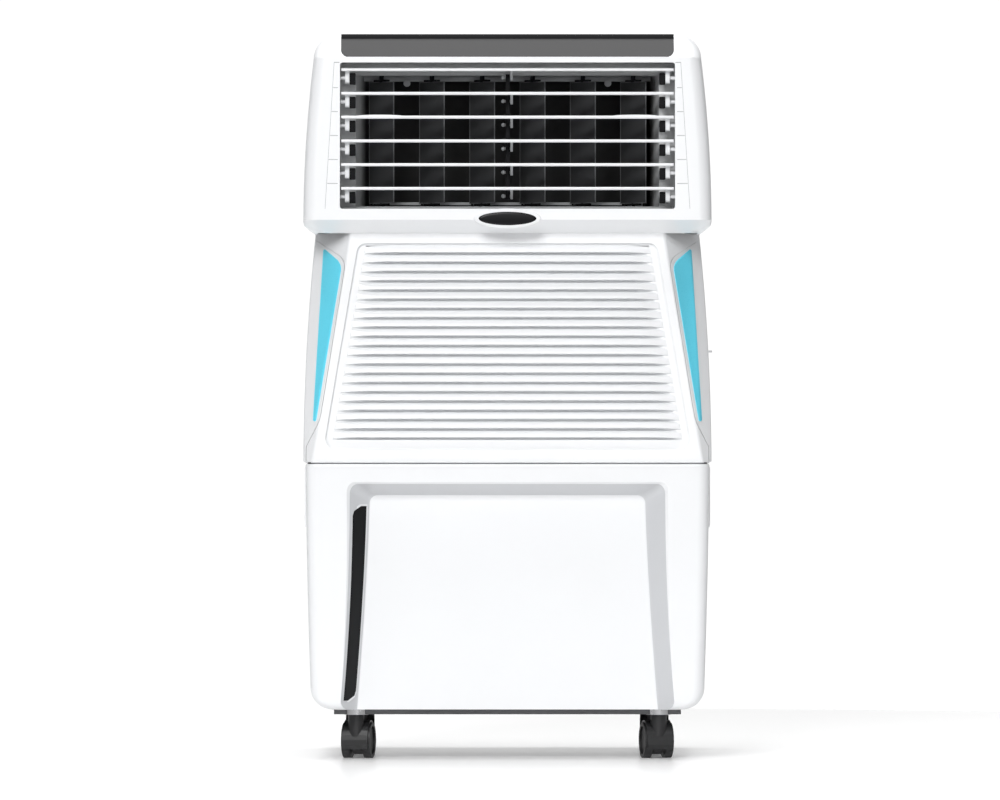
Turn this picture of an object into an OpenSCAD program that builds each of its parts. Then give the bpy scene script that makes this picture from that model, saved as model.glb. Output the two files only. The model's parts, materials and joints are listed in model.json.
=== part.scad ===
// Portable evaporative air cooler on castors, in millimetres.
// +Z is up and the air outlet faces -Y. The origin is on the floor under the middle of the cabinet.

/* [Cabinet] */
// Widest width of the cabinet, at the foot of the head and of the middle shell
body_w = 460; // [380:5:600]
// Depth from the badge on the outlet frame to the face of the rear grille
body_d = 400; // [360:5:520]
// Height of the water tank
tank_h = 278; // [230:2:360]
// Height of the middle shell between tank and head
mid_h = 259; // [240:1:340]
// Height of the head, from its lower edge to the top cover
head_h = 225; // [190:1:280]
// Wall of the moulded shells
wall = 3; // [2:0.5:4]
// Gap left around a loose-fitting piece
fit = 0.4; // [0.3:0.1:0.8]
// Radial play of a turning pin
pin_play = 0.05; // [0.02:0.01:0.1]

/* [Air outlet] */
// Width of the outlet opening
outlet_w = 377; // [300:1:400]
// Height of the outlet opening
outlet_h = 165; // [140:1:190]
// Height of the outlet's lower edge above the head's lower edge
outlet_rise = 27; // [22:1:34]
// Number of horizontal louvre blades
louvre_count = 6; // [6:1:6]
// Front-to-back depth of a louvre blade
louvre_chord = 28; // [20:1:34]
// Thickness of a louvre blade
louvre_t = 4.5; // [3:0.5:6]
// Radius of the louvre pivot pins
louvre_pin_r = 2.2; // [1.5:0.1:3]
// Number of upright vanes
vane_count = 6; // [6:1:6]
// From each side of the outlet to the outermost vane pivot
vane_margin = 46; // [36:1:60]
// Chord of an upright vane
vane_chord = 44; // [34:1:50]
// Angle of the resting vanes to the air stream
vane_rest = 40; // [20:1:45]

/* [Blower and pump] */
// Outer radius of the blower wheel
wheel_r = 90; // [70:1:95]
// Width of the blower wheel
wheel_w = 88; // [60:1:100]
// Radius of the motor shaft
shaft_r = 5; // [4:0.5:8]
// Radius of the fan motor body
motor_r = 42; // [30:1:50]
// Outer radius of the pump impeller
impeller_r = 15; // [10:1:18]
// Outer radius of the delivery hose
hose_r = 8; // [6:0.5:9]

/* [Castors] */
// Radius of a castor wheel
castor_wheel_r = 20; // [16:1:24]
// Width of one castor wheel
castor_wheel_w = 9; // [6:1:12]
// Radius of the castor stem
stem_r = 5.5; // [4:0.5:7]
// Distance of the axle behind the stem
castor_trail = 14; // [10:1:18]
// Sideways distance of the stems from the middle
castor_x = 171; // [120:1:190]
// Fore-and-aft distance of the stems from the middle
castor_y = 140; // [110:1:150]
// Turn of the resting front castors, each toward its own side
castor_turn = 10; // [0:1:20]

/* [Connections] */
// Radius of the supply cord that the gland takes
cord_r = 3.6; // [3:0.1:5]
// Radius of the water inlet nipple
inlet_r = 10.4; // [8:0.1:13]
// Length of the water inlet nipple outside its nut
inlet_len = 11; // [8:1:13]
// Radius of the drain hole
drain_r = 12; // [8:1:15]

/* [Hidden] */
$fn = 48;

big = 1200;                       // longer than the whole cooler, for cuts and slabs
face_steps = 8;                   // straight steps along a swelled flank

// heights
base_t = 6;
axle_z = castor_wheel_r;
castor_h = 2 * castor_wheel_r + 10;
base_z = castor_h;
tank_z = base_z + base_t;
mid_z = tank_z + tank_h;
head_z = mid_z + mid_h;
top_z = head_z + head_h;

// fore-and-aft planes
front_y = -body_d / 2;
back_y = body_d / 2;
grille_t = 14;
shell_back = back_y - grille_t;
badge_proud = 3;
head_front_low = front_y + badge_proud;
head_front_top = head_front_low + 13;
mid_front_low = front_y + 6;
mid_front_top = front_y + 32;
tank_front_top = front_y + 8;
tank_front_low = front_y + 12;

// widths
tank_w_top = body_w - 5;
tank_w_low = body_w - 18;
mid_w_top = body_w - 25;
head_w_top = body_w - 23;
panel_half_low = body_w / 2 - 10;
panel_half_top = body_w / 2 - 53.5;
corner_r = 28;
tank_corner_r = 24;
head_chin = 14.5;                 // rise of the sloping underside of the head
control_drop = 27;                // height of the control strip below the top

function unit(v) = v / norm(v);
function flipped(points) = [for (i = [len(points) - 1 : -1 : 0]) [-points[i][0], points[i][1]]];
function both_sides(points) = concat(points, flipped(points));
function arc(c, r, a0, a1, steps = 6) =
    [for (i = [0 : steps]) let (a = a0 + (a1 - a0) * i / steps) c + r * [cos(a), sin(a)]];
// Half width of a flank that runs from w0/2 to w1/2 and swells outward in between
function flank_x(w0, w1, swell, t) = w0 / 2 + (w1 - w0) / 2 * t + 4 * swell * t * (1 - t);
function flank(w0, w1, swell, z0, z1) = [for (i = [0 : face_steps])
    let (t = i / face_steps) [flank_x(w0, w1, swell, t), z0 + (z1 - z0) * t]];
// Matrix that lays X along n and Z along up, made square to n, with the origin at p
function facing(p, n, up) = let (x = unit(n), z = unit(up - x * (up * x)), y = cross(z, x))
    [[x[0], y[0], z[0], p[0]], [x[1], y[1], z[1], p[1]], [x[2], y[2], z[2], p[2]], [0, 0, 0, 1]];

// Outline in X and Z, pushed from y0 to y1
module xz_prism(points, y0, y1) {
    translate([0, y1, 0]) rotate([90, 0, 0]) linear_extrude(y1 - y0) polygon(points);
}
// Outline in Y and Z, pushed from x0 to x1
module yz_prism(points, x0, x1) {
    translate([x0, 0, 0]) rotate([90, 0, 90]) linear_extrude(x1 - x0) polygon(points);
}
module block(x0, x1, y0, y1, z0, z1) {
    translate([x0, y0, z0]) cube([x1 - x0, y1 - y0, z1 - z0]);
}
module rod_x(x0, x1, y, z, r) {
    translate([x0, y, z]) rotate([0, 90, 0]) cylinder(r = r, h = x1 - x0);
}
module rod_y(x, y0, y1, z, r) {
    translate([x, y1, z]) rotate([90, 0, 0]) cylinder(r = r, h = y1 - y0);
}
module rod_z(x, y, z0, z1, r) {
    translate([x, y, z0]) cylinder(r = r, h = z1 - z0);
}
module pair() {
    children();
    mirror([1, 0, 0]) children();
}

// ---- shells, as solids whose every face is set in by g and whose open ends run on by e ----

function tank_face(g, e) = both_sides(concat(
    arc([tank_w_low / 2 - tank_corner_r, tank_z + tank_corner_r], tank_corner_r - g, -90, 0),
    flank(tank_w_low - 2 * g, tank_w_top - 2 * g, 1, tank_z + tank_corner_r + 1, mid_z + e)));
function tank_side(g, e) = concat(
    arc([tank_front_low + 12, tank_z + 12], 12 - g, 180, 270, 3),
    arc([shell_back - 16, tank_z + 12], 12 - g, 270, 360, 3),
    [[shell_back - g, mid_z + e], [tank_front_top + g, mid_z + e]]);
module tank_solid(g, e = 0) {
    intersection() {
        xz_prism(tank_face(g, e), -big, big);
        yz_prism(tank_side(g, e), -big, big);
    }
}

mid_swell = 3.3;
chamfer_run = [36, 48, 0];        // the corner chamfer's direction in plan
chamfer_top = [panel_half_top, mid_front_top, head_z];
chamfer_low = [panel_half_low, mid_front_low, mid_z];
chamfer_n = unit(cross(chamfer_low - chamfer_top, chamfer_run));
module chamfer_side(g) {
    multmatrix(facing(chamfer_top, chamfer_n, chamfer_top - chamfer_low))
        translate([-g, -big / 2, -big / 2]) cube(big);
}
function mid_front(z) = mid_front_low + (mid_front_top - mid_front_low) * (z - mid_z) / mid_h;
function mid_half(z) = flank_x(body_w, mid_w_top, mid_swell, (z - mid_z) / mid_h);
module mid_solid(g, g_front, g_chamfer, e = 0) {
    difference() {
        intersection() {
            xz_prism(both_sides(flank(body_w - 2 * g, mid_w_top - 2 * g, mid_swell,
                mid_z - e, head_z + e)), -big, big);
            yz_prism([[mid_front(mid_z - e) + g_front, mid_z - e], [shell_back - g, mid_z - e],
                [shell_back - g, head_z + e], [mid_front(head_z + e) + g_front, head_z + e]],
                -big, big);
        }
        pair() chamfer_side(g_chamfer);
    }
}

head_swell = 2.7;
head_flat_z = top_z - corner_r;
function head_front(z) = head_front_low + (head_front_top - head_front_low)
    * (z - head_z - head_chin) / (head_h - head_chin - control_drop);
function head_face(g, e) = both_sides(concat(
    [[mid_w_top / 2 - g, head_z - e], [mid_w_top / 2 - g, head_z], [body_w / 2 - 1 - g, head_z + 8]],
    flank(body_w - 2 * g, head_w_top - 2 * g, head_swell, head_z + 11, head_flat_z - 1),
    arc([head_w_top / 2 - corner_r, head_flat_z], corner_r - g, 0, 90)));
function head_side(g, e) = concat(
    [[shell_back - g, head_z - e]],
    arc([shell_back - corner_r, head_flat_z], corner_r - g, 0, 90),
    arc([head_front_top + 25, top_z - 8], 8 - g, 90, 140, 3),
    [[head_front_top + g, top_z - control_drop], [head_front_low + g, head_z + head_chin],
    [mid_front_top + g, head_z], [mid_front_top + g, head_z - e]]);
module head_solid(g, e = 0) {
    intersection() {
        xz_prism(head_face(g, e), -big, big);
        yz_prism(head_side(g, e), -big, big);
    }
}

// ---- tank ----

recess_top = mid_z - 22;
recess_top_half = body_w / 2 - 73.6;
recess_lean = 0.048;              // how much wider the recess gets per millimetre down
recess_spread = 0.92;             // sideways run of its slanted walls per millimetre of depth
recess_y = tank_front_top + 26;   // flat back of the recess
recess_low_half = recess_top_half + recess_lean * (recess_top - tank_z);
function recess_outline(w, e) = both_sides([[recess_low_half + w, tank_z - e],
    [recess_top_half + w, recess_top + w / 2 + e / 4]]);
module recess_solid(grow) {
    depth = recess_y - front_y + 5;
    hull() {
        xz_prism(recess_outline(recess_spread * depth + grow * 1.3, 10), front_y - 5,
            front_y - 4.9);
        xz_prism(recess_outline(grow * 1.3, 10), recess_y + grow - 0.1, recess_y + grow);
    }
}
// A frame on the slanted left wall of the recess: X out of the wall, Z up along its edge
window_w = 21;
window_t = 1.6;
window_top = mid_z - 48;
window_low = tank_z + 12;
window_h = window_top - window_low;
window_at = [-(recess_top_half + recess_lean * (recess_top - window_low)
    + recess_spread * 12.5), recess_y - 12.5, window_low];
window_out = cross([recess_spread, 1, 0], [recess_lean, 0, 1]);
module on_window_wall() {
    multmatrix(facing(window_at, window_out, [recess_lean, 0, 1])) children();
}
module window_shape(gap) {
    translate([-window_t - gap, -window_w / 2 - gap, -gap])
        cube([window_t + 1, window_w + 2 * gap, window_h + 2 * gap]);
    translate([-wall - 2, -window_w / 2 + 4 - gap, 4 - gap])
        cube([wall + 2, window_w - 8 + 2 * gap, window_h - 8 + 2 * gap]);
}

handle_top = mid_z - 3;
handle_low = mid_z - 74;
handle_half = 62;
grip_depth = 20;
module grip_pocket(grow) {
    block(tank_w_top / 2 - grip_depth - grow, big / 2, -handle_half + 8 - grow,
        handle_half - 8 + grow, handle_low - 24 - grow, handle_top - 16 + grow);
}
boss_r = 12;
sleeve_r = stem_r + 2.5;
boss_top = tank_z + 34;
inlet_x = -120;
inlet_z = mid_z - 28;
drain_x = 60;
drain_z = tank_z + 24;
tank_back_low = shell_back - 4;
function tank_back(z) = tank_back_low + 4 * (z - tank_z) / tank_h;
module at_castors() {
    for (sx = [-1, 1], sy = [-1, 1]) translate([sx * castor_x, sy * castor_y, 0]) children();
}
module water_tank() {
    color("white") difference() {
        tank_solid(0);
        difference() {
            tank_solid(wall, 1);
            recess_solid(wall);
            pair() grip_pocket(wall);
            difference() {
                block(-big / 2, big / 2, -big / 2, big / 2, mid_z - 6, mid_z + 2);
                tank_solid(wall + 6, 1);
            }
            at_castors() rod_z(0, 0, tank_z, boss_top, boss_r);
            rod_y(drain_x, shell_back - 14, shell_back, drain_z, drain_r + 5);
        }
        recess_solid(0);
        pair() grip_pocket(0);
        on_window_wall() window_shape(0.1);
        at_castors() rod_z(0, 0, tank_z - 1, boss_top - wall, sleeve_r + pin_play);
        rod_y(drain_x, shell_back - 20, back_y, drain_z, drain_r + 0.3);
        rod_y(inlet_x, shell_back - 20, back_y, inlet_z, inlet_r + 0.3);
    }
}

plate_half_x = castor_x + 25;
plate_half_y = castor_y + 10;
module base_plate() {
    color("dimgray") difference() {
        block(-plate_half_x, plate_half_x, -plate_half_y, plate_half_y, base_z, tank_z);
        at_castors() rod_z(0, 0, base_z - 1, tank_z + 1, sleeve_r + 6.3);
    }
}

module castor_sockets() {
    color("lightgray") at_castors() difference() {
        union() {
            rod_z(0, 0, base_z - 0.5, tank_z, sleeve_r + 6);
            rod_z(0, 0, base_z, boss_top - wall - 2, sleeve_r);
        }
        rod_z(0, 0, base_z - 1, boss_top, stem_r + pin_play);
    }
}

module level_window() {
    color("black") on_window_wall() window_shape(0);
}

module side_handles() {
    color("white") pair() difference() {
        block(tank_w_top / 2 - 4, body_w / 2 + 1, -handle_half, handle_half, handle_low, handle_top);
        tank_solid(-0.1, 5);
        block(0, body_w / 2 - 3, -handle_half - 1, handle_half + 1, handle_low - 1, handle_top + 1);
    }
}

// ---- castors ----

hood_half = 14.5;
hood_r = castor_wheel_r + 3;
hood_web = 5.5;
axle_r = 3;
wheel_gap = 7.5;                  // half the gap between the twin wheels
castor_angles = [-castor_turn, castor_turn, 0, 0];
castor_places = [[-castor_x, -castor_y], [castor_x, -castor_y], [-castor_x, castor_y],
    [castor_x, castor_y]];
module at_castor(i) {
    translate([castor_places[i][0], castor_places[i][1], 0]) rotate([0, 0, castor_angles[i]])
        children();
}
module castor_hood(i) {
    axle = [castor_trail, axle_z];
    color([0.1, 0.1, 0.1]) at_castor(i) difference() {
        union() {
            yz_prism(concat(arc(axle, hood_r, 205, 40, 12), [axle]), -hood_half, hood_half);
            rod_x(-hood_web, hood_web, axle[0], axle[1], castor_wheel_r - 4);
            rod_z(0, 0, axle_z + 5, base_z - 1, sleeve_r + 1);
            rod_z(0, 0, axle_z + 5, boss_top - wall - 6, stem_r);
        }
        pair() rod_x(hood_web + 0.5, big / 2, axle[0], axle[1], castor_wheel_r + 0.8);
        rod_x(-big / 2, big / 2, axle[0], axle[1], axle_r + pin_play);
    }
}
module castor_wheels(i) {
    color([0.15, 0.15, 0.15]) at_castor(i) {
        pair() difference() {
            rod_x(wheel_gap, wheel_gap + castor_wheel_w, castor_trail, axle_z, castor_wheel_r);
            rod_x(wheel_gap + castor_wheel_w - 2, wheel_gap + castor_wheel_w + 1, castor_trail,
                axle_z, castor_wheel_r - 4);
        }
        rod_x(-wheel_gap - 1, wheel_gap + 1, castor_trail, axle_z, axle_r);
    }
}

// ---- deck between tank and blower ----

deck_t = 3;
deck_top = mid_z + deck_t;
pad_t = 46;
pad_back = shell_back - 18;
pad_front = pad_back - pad_t;
hose_x = body_w / 2 - 60;
pump_half = impeller_r + 11;
pump_gap = 17;                    // clear space between the pump and the rear castor bosses
hose_y = castor_y - boss_r - pump_half - pump_gap;
chute_half = 44;
chute_y = handle_half + wall + chute_half - 6;
chute_in = body_w / 2 - 34;
chute_w = 18;
module pump_deck() {
    color("gainsboro") difference() {
        intersection() {
            mid_solid(wall + fit, 12, wall + 3 + fit);
            block(-big / 2, big / 2, -big / 2, big / 2, mid_z, deck_top);
        }
        rod_z(hose_x, hose_y, mid_z - 1, deck_top + 1, hose_r + 1.5);
        block(chute_in - fit, chute_in + chute_w + fit, chute_y - chute_half - fit,
            chute_y + chute_half + fit, mid_z - 1, deck_top + 1);
        for (i = [-2 : 2]) block(i * 60 - 20, i * 60 + 20, pad_front + 8, pad_front + 20,
            mid_z - 1, deck_top + 1);
    }
}

// ---- middle shell ----

panel_t = 8;
grille_half = body_w / 2 - 30;
grille_low = mid_z + 38;
grille_top = top_z - 32;
pad_half = grille_half - 18;
pad_low = grille_low + 12;
tunnel_half = pad_half + 2.5;
tunnel_low = pad_low - 4;
tunnel_top = top_z - 35;
pad_top = tunnel_top - 24;
back_plate_half = grille_half + 6;
back_plate_top = top_z - 29;
flap_low = mid_z + 54;
flap_h = 80;
flap_half = 40;
flap_t = 2.5;
flap_x = mid_half(flap_low + flap_h) - flap_t / 2 - 0.3;   // plane through the middle of the flap
flap_pin_r = 1.5;
gland_x = -(body_w / 2 - 40);
gland_z = mid_z + 19;
screw_r = 1.6;
screw_places = [for (s = [-1, 1], t = [0.08, 0.45, 0.9]) [s * (body_w / 2 - 19), mid_z + mid_h * t]];
function panel_outline(g) = both_sides([[panel_half_low - g, mid_z - big / 100],
    [panel_half_low - g, mid_z], [panel_half_top - g, head_z], [panel_half_top - g, head_z + big / 100]]);

// Outline of a side insert as seen from the front, grown by g
insert_high = head_z - 18;
insert_low = mid_z + 48;
insert_curve = 19;
function panel_edge(z) = panel_half_low + (panel_half_top - panel_half_low) * (z - mid_z) / mid_h;
insert_gap = 3;                   // from the panel's edge to the insert's inner edge, at its low end
insert_tip = 6.4;                 // width at its low end, with that gap
insert_lean = 0.24;               // how far the outer edge follows the panel's slant
insert_top_x = panel_edge(insert_low) + insert_tip - (panel_half_low - panel_half_top) * insert_lean;
function insert_outline(g) = concat(
    [[panel_edge(insert_low) + insert_gap - g, insert_low - g],
    [panel_edge(insert_high - insert_curve) + 1.5 * insert_gap - g, insert_high - insert_curve]],
    arc([panel_edge(insert_high - insert_curve) + 1.5 * insert_gap + insert_curve,
        insert_high - insert_curve], insert_curve + g, 170, 100, 5),
    [[insert_top_x + g, insert_high + g],
    [panel_edge(insert_low) + insert_tip + g, insert_low - g]]);
module insert_slab(g, depth) {
    intersection() {
        multmatrix(facing(chamfer_top, chamfer_n, chamfer_top - chamfer_low))
            translate([-depth, -big / 2, -big / 2]) cube([depth + 0.4 + g, big, big]);
        xz_prism(insert_outline(g), -big / 2, 0);
    }
}
module pad_tunnel() {
    difference() {
        block(-tunnel_half - wall, tunnel_half + wall, pad_front - 3, shell_back - 1,
            tunnel_low - wall, tunnel_top + wall);
        block(-tunnel_half, tunnel_half, pad_front - 4, shell_back, tunnel_low, tunnel_top);
        for (i = [-2 : 2]) block(i * 60 - 18, i * 60 + 18, pad_front + 8, pad_front + 20,
            tunnel_low - wall - 1, tunnel_low + 1);
    }
}
// Tunnel around the wet pad, and the flat back of the head. It seats on the body shell's back wall.
module pad_frame() {
    color("white") difference() {
        union() {
            block(-back_plate_half, back_plate_half, shell_back - wall, shell_back, head_z,
                back_plate_top);
            pad_tunnel();
        }
        block(-tunnel_half, tunnel_half, pad_back - 5, big, tunnel_low, tunnel_top);
        block(-big / 2, big / 2, shell_back - wall, big, tunnel_low - big, head_z);
    }
}
module body_shell() {
    color("white") difference() {
        union() {
            difference() {
                mid_solid(0, 0, 0);
                mid_solid(wall, panel_t + wall + 0.5, wall + 3, 1);
            }
            intersection() {
                mid_solid(0, 0, 0);
                block(flap_x - 9, big / 2, chute_y - flap_half - 9, chute_y + flap_half + 9,
                    flap_low - 8, flap_low + flap_h + 8);
            }
            for (p = screw_places) rod_y(p[0], shell_back - 14, shell_back - 1, p[1], 4.5);
        }
        intersection() {
            translate([0, panel_t + 0.3, 0]) xz_prism(panel_outline(-0.3), -big, 0);
            yz_prism([[mid_front_low - big, mid_z - 1], [mid_front(mid_z - 1) + panel_t + 0.3, mid_z - 1],
                [mid_front(head_z + 1) + panel_t + 0.3, head_z + 1], [mid_front_low - big, head_z + 1]],
                -big, big);
        }
        xz_prism(panel_outline(14), -big, 0);
        block(-tunnel_half, tunnel_half, pad_back - 5, big, tunnel_low, tunnel_top);
        pair() insert_slab(0.1, 2.6);
        block(flap_x - 10, big / 2, chute_y - flap_half, chute_y + flap_half, flap_low - 4,
            flap_low + flap_h + 1);
        rod_y(flap_x, chute_y - flap_half - 4.5, chute_y + flap_half + 4.5, flap_low,
            flap_pin_r + pin_play);
        rod_y(gland_x, shell_back - 20, big / 2, gland_z, cord_r + 3 + 0.1);
        for (p = screw_places) rod_y(p[0], shell_back - 12, big / 2, p[1], screw_r);
    }
}

rib_count = 21;
rib_field_top = head_z - 10.3;
rib_field_low = mid_z + 14.8;
rib_pitch = (rib_field_top - rib_field_low - 15) / rib_count;
function rib_half(z) = panel_edge(z) - 14.2;
module front_panel() {
    color("whitesmoke") {
        difference() {
            intersection() {
                mid_solid(0, 0, 0);
                xz_prism(panel_outline(0.1), -big, 0);
                yz_prism([[mid_front_low - 1, mid_z - 1], [mid_front(mid_z - 1) + panel_t, mid_z - 1],
                    [mid_front(head_z + 1) + panel_t, head_z + 1], [mid_front_low - 1, head_z + 1]],
                    -big, big);
            }
            intersection() {
                xz_prism(both_sides([[rib_half(rib_field_low) - 8, rib_field_low],
                    [rib_half(rib_field_low), rib_field_low + 12],
                    [rib_half(rib_field_top), rib_field_top - 10],
                    [rib_half(rib_field_top) - 9, rib_field_top]]), -big, 0);
                yz_prism([[front_y - 9, mid_z], [mid_front(mid_z) + 4.5, mid_z],
                    [mid_front(head_z) + 4.5, head_z], [front_y - 9, head_z]], -big, big);
            }
        }
        for (i = [0 : rib_count - 1]) {
            z = rib_field_low + 9 + rib_pitch * i;
            yz_prism([[mid_front(z) + 5, z], [mid_front(z) + 0.6, z + 1.2],
                [mid_front(z) + 1.6, z + 4.5], [mid_front(z) + 5, z + 6.8]],
                -rib_half(z + 6) + 1, rib_half(z + 6) - 1);
        }
    }
}

module accent_inserts() {
    color("cyan") pair() insert_slab(0, 2.5);
}

// ---- head ----

seam_y = front_y + 110;
outlet_low = head_z + outlet_rise;
outlet_top = outlet_low + outlet_h;
strip_half = outlet_w / 2 - 1;
strip_t = 3;
badge_z = head_z + 16;
badge_half_w = 32.5;
badge_half_h = 7.6;
function oval(a, b, n = 36) = [for (i = [0 : n - 1]) [a * cos(360 * i / n), badge_z + b * sin(360 * i / n)]];
module fascia_zone(g) {
    block(-strip_half - g, strip_half + g, -big / 2, seam_y - 8 + g, top_z - control_drop - g, big);
}
module head_bezel() {
    color("white") difference() {
        union() {
            difference() {
                head_solid(0);
                difference() {
                    head_solid(wall, 1);
                    intersection() {
                        difference() {
                            fascia_zone(4);
                            head_solid(wall + strip_t + 0.5, 0);
                        }
                        block(-big, big, -big, seam_y, 0, big);
                    }
                }
            }
            xz_prism(oval(badge_half_w + 5.5, badge_half_h + 4), front_y + 1, front_y + 6);
            intersection() {
                xz_prism(oval(badge_half_w + 5.5, badge_half_h + 4), front_y + 5, front_y + 14);
                block(-big, big, -big, big, 0, plenum_low - wall - fit);
            }
        }
        block(-big / 2, big / 2, seam_y, big / 2, 0, big);
        block(-outlet_w / 2, outlet_w / 2, -big / 2, head_front_top + 12, outlet_low, outlet_top);
        difference() {
            fascia_zone(0.2);
            head_solid(strip_t + 0.1, 0);
        }
        xz_prism(oval(badge_half_w + 0.1, badge_half_h + 0.1), front_y - 1, front_y + 2);
    }
}

module control_fascia() {
    color([0.3, 0.3, 0.3]) intersection() {
        difference() {
            head_solid(0);
            head_solid(strip_t, 0);
        }
        fascia_zone(0);
    }
}

module badge_plate() {
    color("black") xz_prism(oval(badge_half_w, badge_half_h), front_y, front_y + 2);
}

module top_cover() {
    color("white") difference() {
        head_solid(0);
        head_solid(wall, 1);
        block(-big / 2, big / 2, -big / 2, seam_y + 0.2, 0, big);
        block(-back_plate_half - fit, back_plate_half + fit, shell_back - 8, big / 2,
            head_z - 1, back_plate_top + fit);
    }
}

// ---- plenum with its louvres and vanes ----

plenum_half = outlet_w / 2 + 0.3;
plenum_top = outlet_top + 5;
plenum_low = outlet_low - 5;
chamber_back = front_y + 52;
duct_half_front = outlet_w / 2 - 17;
duct_half_back = outlet_w / 2 - 31;
duct_back = front_y + 214;
duct_low = outlet_low + 2;
duct_top = outlet_top - 13;
vane_y = front_y + 78;
vane_low = duct_low + 6;
vane_top = duct_top - 7;
vane_pin_r = 2;
crank_r = 18;
blower_x0 = 45;
blower_x1 = 150;
volute_front = front_y + 95;
volute_back = volute_front + wheel_w + 22;

louvre_pitch = outlet_h * 0.1625;
louvre_set_back = 17.5;
louvre_drop = 9;                  // how far the pivot lies below the middle of the blade
louvre_end = outlet_w / 2 - 1.5;
link_back = 12;
link_up = 1;
link_pin_r = 1.5;
handle_blade = 2;                 // index, from the top, of the blade with the finger lips
function blade_z(i) = outlet_top - 8 - louvre_pitch * i;
function pivot_z(i) = blade_z(i) - louvre_drop;
function pivot_y(i) = head_front(pivot_z(i)) + louvre_set_back;
vane_pitch = (outlet_w - 2 * vane_margin) / (vane_count - 1);
function vane_x(i) = (i - (vane_count - 1) / 2) * vane_pitch;

module air_plenum() {
    color([0.35, 0.36, 0.37]) difference() {
        intersection() {
            head_solid(wall + fit, 0);
            union() {
                block(-plenum_half - wall, plenum_half + wall, -big / 2, chamber_back + wall,
                    plenum_low - wall, plenum_top + wall);
                translate([0, 0, duct_low - 7]) linear_extrude(duct_top - duct_low + 12)
                    polygon(both_sides([[duct_half_front + wall, chamber_back],
                        [duct_half_back + wall, vane_y + 52], [duct_half_back + wall, duct_back + wall]]));
            }
        }
        block(-plenum_half, plenum_half, -big / 2, chamber_back, plenum_low, plenum_top);
        translate([0, 0, duct_low]) linear_extrude(duct_top - duct_low)
            polygon(both_sides([[duct_half_front, chamber_back - 1],
                [duct_half_back, vane_y + 52], [duct_half_back, duct_back]]));
        block(blower_x0 + 2.5, blower_x1 - 2.5, volute_front + 2.5, volute_back - 2.5, plenum_low - 9,
            duct_low + 1);
        difference() {
            fascia_zone(4 + fit);
            head_solid(wall + strip_t + 0.5 + fit, 0);
        }
        for (i = [0 : louvre_count - 1])
            rod_x(-big / 2, big / 2, pivot_y(i), pivot_z(i), louvre_pin_r + pin_play);
        for (i = [0 : vane_count - 1])
            rod_z(vane_x(i), vane_y, duct_low - 5, duct_top + 4, vane_pin_r + pin_play);
        rod_z(vane_x(vane_count - 1), vane_y, duct_low - 8, duct_low - 4, 3.4);
    }
}

// One louvre blade, with its pivot at the origin
module louvre_blade() {
    half_t = louvre_t / 2;
    front = -louvre_chord / 2;
    back = louvre_chord / 2;
    difference() {
        yz_prism(concat(arc([front + half_t, louvre_drop], half_t, 270, 90, 6),
            [[back, louvre_drop + half_t * 0.6], [back, louvre_drop - half_t * 0.4]]),
            -louvre_end, louvre_end);
        block(-5, 3.1, 1.5, back + 1, 0, louvre_drop + louvre_t);
    }
    block(3.1, 6, 0, link_back + 2.5, -2, louvre_drop);
    rod_x(-4.2, 3.2, link_back, link_up, link_pin_r);
    translate([-4.8, link_back, link_up]) sphere(r = 2.3);
    pair() {
        block(louvre_end - 9, louvre_end - 4, -6, 6, -9, louvre_drop);
        rod_x(louvre_end - 14, louvre_end - 8.9, 0, 0, 5);
        rod_x(louvre_end - 5, plenum_half + wall - 0.3, 0, 0, louvre_pin_r);
    }
}
module louvre(i) {
    color("white") translate([0, pivot_y(i), pivot_z(i)]) {
        louvre_blade();
        if (i == handle_blade) pair()
            block(louvre_end * 0.63, louvre_end * 0.91, -louvre_chord / 2 + 2,
                -louvre_chord / 2 + 9, louvre_drop, louvre_drop + louvre_t / 2 + 1.2);
    }
}
module louvre_link() {
    first = [pivot_y(0) + link_back, pivot_z(0) + link_up];
    last = [pivot_y(louvre_count - 1) + link_back, pivot_z(louvre_count - 1) + link_up];
    color([0.12, 0.12, 0.12]) difference() {
        yz_prism([first + [-3.5, 3.5], first + [3.5, 3.5], last + [3.5, -3.5], last + [-3.5, -3.5]],
            -2, 2.6);
        for (i = [0 : louvre_count - 1]) rod_x(-5, 5, pivot_y(i) + link_back, pivot_z(i) + link_up,
            link_pin_r + (i == handle_blade ? pin_play : 0.35));
    }
}

// One upright vane with its pivot at the origin of X and Y
module vane(i) {
    half = vane_chord / 2;
    color([0.2, 0.2, 0.21]) translate([vane_x(i), vane_y, 0]) rotate([0, 0, vane_rest]) {
        linear_extrude_between(vane_low, vane_top)
            polygon([[0, -half], [1, -half + 3], [1.2, half - 3], [0.4, half], [-0.4, half],
                [-1.2, half - 3], [-1, -half + 3]]);
        for (z = [vane_low - 2, vane_top - 2]) block(-2.4, 2.4, -9, 9, z, z + 4);
        rod_z(0, 0, duct_low - 4, vane_low, vane_pin_r);
        rod_z(0, 0, vane_top, duct_top + 3.5, vane_pin_r);
        block(-1.6, 1.6, crank_r - 3, crank_r + 3, vane_low - 1.5, vane_low + 2);
        rod_z(0, crank_r, duct_low + 1, vane_low, 1.5);
        if (i == vane_count - 1) {
            rod_z(0, 0, duct_low - 7, duct_low - 4.4, 3);
            rod_z(0, 0, duct_low - 6, duct_low - 3, vane_pin_r);
        }
    }
}
module linear_extrude_between(z0, z1) {
    translate([0, 0, z0]) linear_extrude(z1 - z0) children();
}
function crank_at(i) = [vane_x(i) - crank_r * sin(vane_rest), vane_y + crank_r * cos(vane_rest)];
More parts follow.
